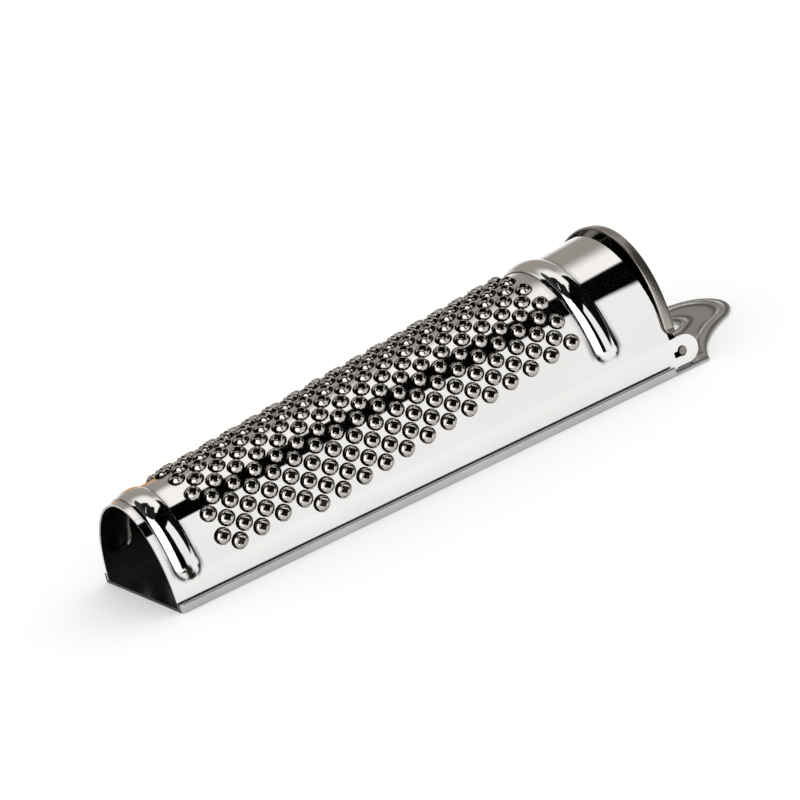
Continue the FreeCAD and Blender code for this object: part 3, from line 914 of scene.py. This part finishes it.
def add_loft(work, loops):
    """Skin a row of closed loops and close both ends."""
    rings = [[work.verts.new(point) for point in loop] for loop in loops]
    count = len(rings[0])
    for near, far in zip(rings, rings[1:]):
        for k in range(count):
            after = (k + 1) % count
            work.faces.new((near[k], far[k], far[after], near[after]))
    work.faces.new(rings[0])
    work.faces.new(rings[-1])


def shade_smooth(work, crease_degrees):
    """Smooth shading, with creases where faces meet at more than the given angle."""
    for face in work.faces:
        face.smooth = True
    for edge in work.edges:
        if len(edge.link_faces) == 2 and edge.calc_face_angle(0.0) > math.radians(crease_degrees):
            edge.smooth = False


# %% Fold the hems
def hem_profile():
    """Section of a hem: distance out from the body's wall, and height."""
    def rounded(cx, cz, radius, start, stop, count=6):
        turns = [math.radians(start + (stop - start) * k / count) for k in range(count + 1)]
        return [(cx + radius * math.cos(t), cz + radius * math.sin(t)) for t in turns]
    low, top, lip = 0.35 * mm, 0.4 * mm, 0.12 * mm
    groove = 0.4 * mm
    return ([(seam_clearance + flange_width, 0.0)]
            + rounded(hem_width - low, low, low, -90, 0)
            + rounded(hem_width - top, seam_height - top, top, 0, 90)
            + rounded(groove + lip, seam_height - lip, lip, 90, 180)
            + [(groove, seam_height - plate_gauge),
               (seam_clearance + flange_width, seam_height - plate_gauge)])


def fold_hem(work, side):
    """Sweep the profile along the tapered edge, with the staked notch near the mouth."""
    stations = [0.0, 0.1 * mm, 0.3 * mm, 0.5 * mm]
    stations += [stake_x + stake_radius * math.cos(math.pi * (1 - k / 10)) for k in range(11)]
    stations += [hem_length * k / 12 for k in range(1, 12)] + [hem_length]
    profile = hem_profile()
    loops = []
    for x in stations:
        inward = stake_radius ** 2 - (x - stake_x) ** 2
        notch = math.sqrt(inward) if inward > 0 else 0.0
        short = max(corner_radius - x, 0.0)
        widest = hem_width - corner_radius + math.sqrt(corner_radius ** 2 - short ** 2)
        loop = []
        for out, z in profile:
            out = min(out, widest)
            if z > seam_height - 0.75 * plate_gauge and out < notch:
                out = notch
            loop.append((mouth_x + x, side * (arch_half(x) + out), z))
        loops.append(loop)
    add_loft(work, loops)


plate_work = bmesh.new()
# painted shade along the tab's pressed lines is kept at the plate's points
shade_on_plate = plate_work.verts.layers.float.new("fold")
for side in (-1, 1):
    fold_hem(plate_work, side)
bmesh.ops.recalc_face_normals(plate_work, faces=plate_work.faces[:])
print("hems:", len(plate_work.faces), "faces")

# %% Press the tab
def tab_outline():
    """Outline of the plate behind the hems, from the far hem round the tip to the near one."""
    edge = arch_half(hem_length) + hem_width
    shoulder = arch_half(shoulder_x) + hem_width - inside_box
    points = []
    for k in range(8):
        points.append((hem_length + (shoulder_x - 0.5 * mm - hem_length) * k / 8,
                       edge + (shoulder - edge) * k / 8))
    turned_in = (shoulder_x + 0.3 * mm, shoulder - 0.8 * mm)
    points += arc_points((shoulder_x - 0.5 * mm, shoulder - 0.03 * mm),
                         (shoulder_x, shoulder - 0.25 * mm), turned_in, 6)
    points += arc_points(turned_in, waist, brow, 30)
    mirrored = [(x, -y) for x, y in points[::-1]]
    far_brow = (brow[0], -brow[1])
    points += arc_points(brow, (total_length - inside_box, 0.0), far_brow, 48)
    return points + [far_brow] + mirrored


def press_height(point, border):
    """Height of the tab's top: a ridge inside its edge and a raised ring round the hole."""
    def ridge(distance, middle, half):
        off = min(abs(distance - middle) / half, 1.0)
        return 0.5 + 0.5 * math.cos(math.pi * off)
    to_edge = min(math.dist(point, other) for other in border)
    to_hole = math.dist(point, (hole_x, 0.0)) - hole_radius
    lift = max(ridge(to_edge, *edge_ridge), ridge(to_hole, *ring_ridge))
    return plate_gauge + emboss * lift


outline = tab_outline()
left_edge = [(hem_length, -outline[0][1] + 2 * outline[0][1] * k / 40) for k in range(1, 40)]
closed = outline + left_edge
# points on each spoke, in mm inwards from the outline and then up to the hole
steps_in = [0.0, 0.12, 0.4, 0.75, 1.1, 1.5, 1.9, 2.3, 2.7, 3.1, 3.6]
steps_out = [4.6, 3.6, 2.9, 2.4, 2.0, 1.6, 1.2, 0.8, 0.4, 0.12, 0.0]
dense = [tuple(np.array(a) + (np.array(b) - np.array(a)) * k / 4)
         for a, b in zip(outline, outline[1:]) for k in range(4)]
# painted shade along the pressed lines, by the number of the point on its spoke
pressed_line_shade = {2: 0.45, 3: 0.8, 9: 0.8, 10: 0.5, 17: 0.7, 18: 0.7, 23: 0.8}
edge_drop = 0.12 * mm
net = []
for x, y in closed:
    spoke = np.array([hole_x - x, -y])
    length = float(np.hypot(*spoke)) - hole_radius
    toward = spoke / np.hypot(*spoke)
    outer = [min(step * mm, length * 0.55 * step / steps_in[-1]) for step in steps_in]
    inner = [length - min(step * mm, length * 0.4 * step / steps_out[0]) for step in steps_out]
    middle = [outer[-1] + (inner[0] - outer[-1]) * k / 5 for k in range(1, 5)]
    row = []
    for number, distance in enumerate(outer + middle + inner):
        px, py = np.array([x, y]) + toward * distance
        z = press_height((px, py), dense)
        if distance == 0.0 or distance == inner[-1]:
            z -= edge_drop
        row.append(plate_work.verts.new((mouth_x + px, py, z)))
        row[-1][shade_on_plate] = pressed_line_shade.get(number, 0.0)
    net.append(row)
count = len(net)
top_faces = []
for k in range(count):
    a, b = net[k], net[(k + 1) % count]
    for u, v in zip(range(len(a) - 1), range(1, len(a))):
        top_faces.append(plate_work.faces.new((a[u], b[u], b[v], a[v])))
print("tab:", len(top_faces), "faces")

# %% Give the tab its gauge and lay the plate under the body
bmesh.ops.recalc_face_normals(plate_work, faces=top_faces)
if sum(face.normal.z for face in top_faces) < 0:
    bmesh.ops.reverse_faces(plate_work, faces=top_faces)
under = bmesh.ops.duplicate(plate_work, geom=top_faces)
under_faces = [item for item in under["geom"] if isinstance(item, bmesh.types.BMFace)]
bmesh.ops.reverse_faces(plate_work, faces=under_faces)
on_top = {vert for row in net for vert in row}
twins = {a: b for a, b in under["vert_map"].items() if a in on_top}
at_edge = {row[end] for row in net for end in (0, -1)}
for above, below in twins.items():
    below.co.z = above.co.z - plate_gauge + 2 * (edge_drop if above in at_edge else 0)
walls = set()
for k in range(count):
    for end in (0, -1):
        a, b = net[k][end], net[(k + 1) % count][end]
        order = (b, twins[b], twins[a], a) if end == 0 else (a, twins[a], twins[b], b)
        walls.add(plate_work.faces.new(order))
front, back = (arch_half(x) + seam_clearance + flange_width for x in (0.0, hem_length))
corners = [(0.0, -front), (hem_length, -back), (hem_length, back), (0.0, front)]
for z, order in ((plate_gauge, 1), (0.0, -1)):
    plate_work.faces.new([plate_work.verts.new((mouth_x + x, y, z)) for x, y in corners[::order]])
# the plate's front edge at the mouth, in the edge steel darkened as painted shade
sheared = [(-front, 0.0), (-front, plate_gauge), (front, plate_gauge), (front, 0.0)]
plate_work.faces.new([plate_work.verts.new((mouth_x, y, z)) for y, z in sheared]).material_index = 1
shade_smooth(plate_work, 50)
for edge in {edge for wall in walls for edge in wall.edges}:
    if not walls.issuperset(edge.link_faces):
        edge.smooth = False
plate_mesh = bpy.data.meshes.new("back_plate_and_tab")
plate_work.to_mesh(plate_mesh)
plate_work.free()
plate_mesh.materials.append(satin_plate)
plate_mesh.materials.append(sheared_and_shaded_edge)
plate = bpy.data.objects.new("back_plate_and_tab", plate_mesh)
bpy.context.scene.collection.objects.link(plate)
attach(plate, "grater")
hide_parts("back_plate")
print("plate:", len(plate_mesh.polygons), "faces")

# %% [markdown]
# ## Lid
# The lid is a shallow pressed cap. Its skirt ends in a rolled lip, which is drawn back to the face
# where the skirt stops above the ears, and a row of small ribs on each side gives the thumb a hold.
# One section of lip, skirt and corner is swept round the arch. The flat of the face and the two
# lugs for the pin close it. All of it is made shut and then turned open about the pin to its rest.

# %% Sizes of the lid
lid_gauge, lid_clearance = 0.5 * mm, 0.3 * mm
lid_open, lid_back = body_length - 1.2 * mm, body_length + 1.3 * mm
lid_half, lid_crown = rim_half_width + lid_clearance, rim_height + lid_clearance
skirt_foot, neck_bottom, neck_half = 7.7 * mm, 1.4 * mm, 18.5 * mm
lip_radius, lid_corner, face_border = 0.3 * mm, 0.9 * mm, 2.5 * mm
lug_radius = 2.0 * mm
face_inset = 0.02 * mm
rest_angle = math.radians(8.5)


def tilted(x, y, z):
    """A point of the shut lid, x from the mouth, where it is with the lid at rest."""
    run, rise = x - body_length - hinge_from_rim, z - hinge_height
    return (rim_x + hinge_from_rim + run * math.cos(rest_angle) + rise * math.sin(rest_angle), y,
            hinge_height - run * math.sin(rest_angle) + rise * math.cos(rest_angle))


def shut(x, y, z):
    """The other way about: where a point of the lid at rest is when it is shut, x from the mouth."""
    run, rise = x - rim_x - hinge_from_rim, z - hinge_height
    return (run * math.cos(rest_angle) - rise * math.sin(rest_angle) + body_length + hinge_from_rim, y,
            run * math.sin(rest_angle) + rise * math.cos(rest_angle) + hinge_height)


def on_skirt(x, turn, out):
    """Point at a turn from the crown, out from the inside of the skirt."""
    across, up = math.sin(turn) / lid_half, math.cos(turn) / lid_crown
    length = math.hypot(across, up)
    return tilted(x, lid_half * math.sin(turn) + out * across / length,
                  lid_crown * math.cos(turn) + out * up / length)


# %% Sweep the skirt
def lid_section(tuck):
    """Closed section: place along the grater, and distance out. Tuck draws the lip back."""
    def arc(x, out, radius, start, stop, count):
        turns = [math.radians(start + (stop - start) * k / count) for k in range(count + 1)]
        return [(x + radius * math.cos(t), out + radius * math.sin(t)) for t in turns]
    return (arc(lid_open + lip_radius + tuck, lid_gauge - lip_radius, lip_radius, 330, 90, 10)
            + arc(lid_back - lid_corner, lid_gauge - lid_corner, lid_corner, 90, 0, 8)
            + [(lid_back, -face_border), (lid_back - lid_gauge, -face_border), (lid_back - lid_gauge, 0)])


last_turn = math.acos(skirt_foot / lid_crown)
end_round, deepest_tuck = 1.4 * mm, 1.15 * mm
from_end = [0.0, 0.05, 0.2, 0.45, 0.8, 1.1]
near_end = [last_turn - s * mm / lid_half for s in from_end]
turns = sorted([-t for t in near_end] + near_end
               + list(np.linspace(-last_turn + end_round / lid_half, last_turn - end_round / lid_half, 91)))
lid_work = bmesh.new()
sections = []
for turn in turns:
    share = max(0.0, 1 - (last_turn - abs(turn)) * lid_half / end_round)
    tuck = deepest_tuck * (1 - math.sqrt(1 - share ** 2))
    sections.append([on_skirt(x, turn, out) for x, out in lid_section(tuck)])
add_loft(lid_work, sections)
print("skirt:", len(lid_work.faces), "faces")

# %% Close the lid
rim_of_face = [(lid_half * math.sin(t) * (1 - face_border / lid_half),
                lid_crown * math.cos(t) - face_border * math.cos(t)) for t in turns]
flat = rim_of_face + [(neck_half, skirt_foot), (neck_half, neck_bottom),
                      (-neck_half, neck_bottom), (-neck_half, skirt_foot)]
add_loft(lid_work, [[tilted(x, y, z) for y, z in flat]
                    for x in (lid_back - face_inset, lid_back - lid_gauge + face_inset)])
lug = [(body_length + hinge_from_rim + lug_radius * math.cos(math.radians(a)),
        hinge_height + lug_radius * math.sin(math.radians(a))) for a in range(-100, 81, 12)]
lug += [(lid_back - 0.4 * mm, 7.2 * mm), (lid_back - 0.4 * mm, 1.9 * mm)]
for side in (-1, 1):
    add_loft(lid_work, [[tilted(x, side * y, z) for x, z in lug]
                        for y in (neck_half - lid_gauge, neck_half)])
ribs, first_rib, rib_pitch, half_rib = 14, math.radians(31), math.radians(2.1), 0.28 * mm / lid_crown
rib_section = ((1.75, -0.1), (1.75, 0.05), (1.05, 0.05), (1.05, -0.1))
for side in (-1, 1):
    for k in range(ribs):
        middle = side * (first_rib + rib_pitch * k)
        add_loft(lid_work, [[on_skirt(lid_back - x * mm, middle + t * half_rib, lid_gauge + out * mm)
                             for x, out in rib_section] for t in (-1, 1)])
bmesh.ops.recalc_face_normals(lid_work, faces=lid_work.faces[:])
shade_smooth(lid_work, 40)
print("lid closed:", len(lid_work.faces), "faces")

# %% [markdown]
# ## Finish of the lid
# The corner where the skirt turns into the face gets painted shade, so the points near it get a
# number for the material. The buffing wheel never reached inside, so the inner faces wear the
# unbuffed steel, whose dark colour is painted shade.

# %% Mark the corner and the inside
# painted shade on the lid's corner: where it starts, its fade, its reach inwards and how dark
corner_shade_start, corner_shade_fade, corner_shade_inside, corner_shade_share = 0.75 * mm, 0.35 * mm, 0.25 * mm, 0.85
corner_shade = lid_work.verts.layers.float.new("fold")
for vert in lid_work.verts:
    x, y, z = shut(*vert.co)
    out = (math.hypot(y / lid_half, z / lid_crown) - 1) * lid_half
    if out > -corner_shade_inside:
        vert[corner_shade] = corner_shade_share * min(max((x - lid_back + corner_shade_start) / corner_shade_fade, 0.0), 1.0)
lid_mesh = bpy.data.meshes.new("pressed_lid")
lid_work.to_mesh(lid_mesh)
lid_work.free()
lid_mesh.materials.append(buffed_lid)
# the lid's inner faces wear the inside steel, darkened as painted shade
lid_mesh.materials.append(unbuffed_and_shaded_inside)
away = np.array(tilted(lid_back, 0, 0)) - np.array(tilted(lid_open, 0, 0))
away /= np.linalg.norm(away)
axis_point = np.array(tilted(lid_back, 0, hinge_height))
for face in lid_mesh.polygons:
    normal, middle = np.array(face.normal), np.array(face.center) - axis_point
    outward = middle - away * (middle @ away)
    inward = normal @ outward < 0 and middle @ away < -0.1 * mm and abs(normal @ away) < 0.7
    towards_body = normal @ away < -0.9
    lug_side = abs(face.normal.y) > 0.9 and face.center.z < 9 * mm
    if inward or towards_body or lug_side:
        face.material_index = 1
pressed_lid = bpy.data.objects.new("pressed_lid", lid_mesh)
bpy.context.scene.collection.objects.link(pressed_lid)
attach(pressed_lid, "lid")
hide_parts("lid_cap")
print("lid:", len(lid_mesh.polygons), "faces")

# %% [markdown]
# ## Catch, pin and compartment floor
# These come straight from the CAD model, because their shapes are already right. Each gets the
# finish of its own making: the catch is cut from rolled spring strip, the pin is drawn wire, and
# the hidden floor is left as the mill made it.

# %% Dress the CAD pieces
for node, finish in {"lid_catch": spring_strip, "hinge_pin": drawn_wire,
                     "compartment_floor": mill_sheet}.items():
    piece = frame["nodes"][node]
    for slot in piece.material_slots:
        slot.material = finish
    print(node, "wears", finish.name)

# %% [markdown]
# ## Studio
# Polished steel shows what stands around it, so most of its look is made here. The room is a plain
# white, and a set of cards gives the steel something to reflect: a long black strip overhead draws the
# dark line along the arch, a grey backdrop tones the crown, dark cards at the sides edge every
# tooth, and a small amber card warms the crown from behind. The camera doesn't see the cards, and
# they cast no shadow.

# %% White room
scene = bpy.context.scene
scene.view_settings.view_transform = "Standard"
world = bpy.data.worlds.new("white_room")
scene.world = world
world.use_nodes = True
world.node_tree.nodes["Background"].inputs["Color"].default_value = linear("#FFFFFF")
world.node_tree.nodes["Background"].inputs["Strength"].default_value = 1.0
print("world:", world.name)

# %% Floor
def plain_board(name, colour, seen_glow):
    """Matt white board. What the camera and mirrors see of it is lifted a little, to white."""
    material = bpy.data.materials.new(name)
    material.use_nodes = True
    tree = material.node_tree
    board = tree.nodes["Principled BSDF"]
    board.inputs["Base Color"].default_value = linear(colour)
    board.inputs["Roughness"].default_value = 0.9
    board.inputs["Specular IOR Level"].default_value = 0.0
    board.inputs["Emission Color"].default_value = linear("#FFFFFF")
    rays = add_node(tree, "ShaderNodeLightPath").outputs
    either = add_node(tree, "ShaderNodeMath", "MAXIMUM", rays["Is Camera Ray"], rays["Is Glossy Ray"])
    lift = add_node(tree, "ShaderNodeMath", "MULTIPLY", either, seen_glow)
    tree.links.new(lift.outputs[0], board.inputs["Emission Strength"])
    return material


def net_object(name, rows, material):
    """A mesh from rows of points, with a UV map that runs from 0 to 1 along and across them."""
    high, wide = len(rows), len(rows[0])
    faces = [(wide * i + j, wide * (i + 1) + j, wide * (i + 1) + j + 1, wide * i + j + 1)
             for i in range(high - 1) for j in range(wide - 1)]
    mesh = bpy.data.meshes.new(name)
    mesh.from_pydata([point for row in rows for point in row], [], faces)
    shares = mesh.uv_layers.new(name="share")
    for loop in mesh.loops:
        i, j = divmod(loop.vertex_index, wide)
        shares.data[loop.index].uv = (i / (high - 1), j / (wide - 1))
    mesh.materials.append(material)
    thing = bpy.data.objects.new(name, mesh)
    scene.collection.objects.link(thing)
    return thing


reach = 6.0
net_object("floor", [[(x, y, 0) for y in (-reach, reach)] for x in (-reach, reach)],
           plain_board("white_floor", "#F8F8F7", 0.1))
print("floor:", 2 * reach, "m wide")

# %% [markdown]
# ## Reflection cards
# A card is a sheet of light or dark that only mirrors see. A hard edge would show in the steel as a
# drawn line, so each card fades out at its edges, and a noise makes some of these lines uneven. Most
# cards are bent round the grater, and are placed by azimuth and elevation as seen from it.

# %% What a reflection card is made of
above_floor = 0.3 * mm


def glow_material(name, colour, strength, soft, uneven):
    """Light of a card that fades out over the shares soft of its two sides; uneven shifts the line."""
    material = bpy.data.materials.new(name)
    material.use_nodes = True
    tree = material.node_tree
    tree.nodes.clear()
    add = partial(add_node, tree)
    place = add("ShaderNodeTexCoord").outputs["UV"]
    ripple = add("ShaderNodeTexNoise", vector=place, scale=7.0, detail=2.0).outputs["Color"]
    shift = add("ShaderNodeVectorMath", "SUBTRACT", ripple, (0.5, 0.5, 0.5))
    moved = add("ShaderNodeVectorMath", "MULTIPLY_ADD", shift, (uneven, uneven, 0.0), place)
    parts = add("ShaderNodeSeparateXYZ", vector=moved).outputs
    fades = []
    for axis, width in zip("XY", soft):
        away = add("ShaderNodeMath", "SUBTRACT", parts[axis], 0.5)
        away = add("ShaderNodeMath", "ABSOLUTE", away)
        fades.append(add("ShaderNodeMapRange", {"interpolation_type": "SMOOTHSTEP"}, value=away,
                         from_min=0.5, from_max=0.5 - width))
    light = add("ShaderNodeEmission", color=linear(colour), strength=strength)
    mixed = add("ShaderNodeMixShader", i0=add("ShaderNodeMath", "MULTIPLY", *fades),
                i1=add("ShaderNodeBsdfTransparent"), i2=light)
    add("ShaderNodeOutputMaterial", surface=mixed)
    return material


def glow_card(name, rows, colour, strength=1.0, soft=(0.02, 0.02), uneven=0.0):
    """A card that only reflections see."""
    card = net_object(name, rows, glow_material(name, colour, strength, soft, uneven))
    card.visible_camera = False
    card.visible_diffuse = False
    card.visible_shadow = False
    print(name, "placed")


def toward(azimuth, elevation, distance):
    """Point in a direction from the grater: azimuth 0 is in front, along -Y, and +X is 90."""
    a, e = math.radians(azimuth), math.radians(elevation)
    return (distance * math.cos(e) * math.sin(a), -distance * math.cos(e) * math.cos(a),
            distance * math.sin(e))


def curved_card(name, azimuths, elevations, distance, colour, strength=1.0, **edges):
    """A card bent round the grater between two azimuths and two elevations."""
    rows = [[toward(azimuth, elevation, distance) for elevation in np.linspace(*elevations, 5)]
            for azimuth in np.linspace(*azimuths, 13)]
    glow_card(name, rows, colour, strength, **edges)


def floor_card(name, azimuths, near, far, colour, **edges):
    """A card that lies on the floor beside the grater."""
    rows = []
    for azimuth in np.linspace(*azimuths, 7):
        a = math.radians(azimuth)
        rows.append([(d * math.sin(a), -d * math.cos(a), above_floor) for d in (near, far)])
    glow_card(name, rows, colour, **edges)


# %% Place the cards
glow_card("black_strip", [[(-0.114, -1.051, 1.0), (-0.18, -0.457, 1.0)],
                          [(0.966, -0.391, 1.0), (0.907, 0.149, 1.0)]], "#000000",
          soft=(0.02, 0.1), uneven=0.06)
curved_card("left_softbox", (-74, -6), (-1, 64), 2.4, "#FFFEFD", 2.1, soft=(0.05, 0.03), uneven=0.03)
curved_card("front_softbox", (10, 66), (-1, 64), 2.4, "#FFFEFD", 1.0, soft=(0.05, 0.25), uneven=0.03)
curved_card("gap_between", (-7, 11), (6, 62), 2.5, "#0A0A0A")
curved_card("top_softbox", (40, 165), (40, 77), 2.0, "#FFFDFB", 1.05, soft=(0.1, 0.1))
curved_card("grey_backdrop", (104, 230), (-1, 66), 1.6, "#A09A94", soft=(0.2, 0.28), uneven=0.04)
curved_card("dark_right", (36, 112), (9, 60), 1.4, "#0A0A0A", soft=(0.05, 0.1), uneven=0.05)
curved_card("dark_right_low", (62, 112), (-3, 12), 1.45, "#0A0A0A", soft=(0.05, 0.1))
curved_card("white_spot", (91, 97), (3, 10), 1.3, "#FFFFFF", soft=(0.2, 0.2))
curved_card("dark_left", (-130, -72), (-2, 64), 1.4, "#0A0A0A", soft=(0.05, 0.1), uneven=0.05)
curved_card("dark_ceiling", (110, 300), (76, 90), 1.9, "#1E1D1C", soft=(0.05, 0.1))
curved_card("dark_zenith", (66, 122), (79, 90), 1.88, "#1E1D1C", soft=(0.05, 0.1))
curved_card("dark_behind", (175, 300), (60, 80), 1.9, "#3A3836", soft=(0.1, 0.1))
curved_card("dark_above", (-60, 78), (73, 90), 1.9, "#1E1D1C", soft=(0.05, 0.1))
curved_card("dark_above_left", (-80, 34), (65, 76), 1.95, "#1E1D1C", soft=(0.05, 0.1))
floor_card("dark_floor_left", (-122, -74), 0.0725, 1.4, "#141312")
floor_card("dark_floor_right", (66, 108), 0.085, 1.4, "#2A2826")
glow_card("dark_floor_front", [[(x, y, above_floor) for y in (-0.05, -2.4)] for x in (-0.085, -0.058)],
          "#0A0A0A", soft=(0.2, 0.005))
glow_card("amber_card", [[(-0.052, 0.045, 0.0), (-0.045, 0.13, 0.045)],
                         [(-0.012, 0.045, 0.0), (-0.004, 0.13, 0.045)]], "#C99763",
          soft=(0.35, 0.2), uneven=0.03)

# %% [markdown]
# ## Camera
# The camera looks down on the open mouth from the left with a long lens, from about a metre away,
# and is rolled so that the grater climbs to the right. It aims at a point inside the body, and is
# moved aside so that this point shows about 30 pixels right of the frame's middle.

# %% Camera at the viewing angle
azimuth, elevation, roll = math.radians(-28.393), math.radians(21.199), math.radians(-15.707)
distance, focal_pixels, image_width, sensor_width = 0.94093, 4888.24, 800, 36.0
middle_right, middle_up = 29.478, 1.388
aim = Vector((0, 0, 0.010))
back = Vector((math.sin(azimuth) * math.cos(elevation), -math.cos(azimuth) * math.cos(elevation),
               math.sin(elevation)))
right = Vector((math.cos(azimuth), math.sin(azimuth), 0))
up = back.cross(right)
image_right = math.cos(roll) * right + math.sin(roll) * up
image_up = -math.sin(roll) * right + math.cos(roll) * up
lens = bpy.data.cameras.new("camera")
lens.sensor_width = sensor_width
lens.lens = focal_pixels / image_width * sensor_width
lens.clip_start, lens.clip_end = 0.05, 50.0
camera = bpy.data.objects.new("camera", lens)
scene.collection.objects.link(camera)
pixel = distance / focal_pixels
place = aim + back * distance - image_right * (middle_right * pixel) - image_up * (middle_up * pixel)
turn = Matrix((image_right, image_up, back)).transposed()
camera.matrix_world = Matrix.LocRotScale(place, turn, None)
scene.camera = camera
print("camera:", round(lens.lens, 1), "mm lens at", [round(c, 3) for c in place])
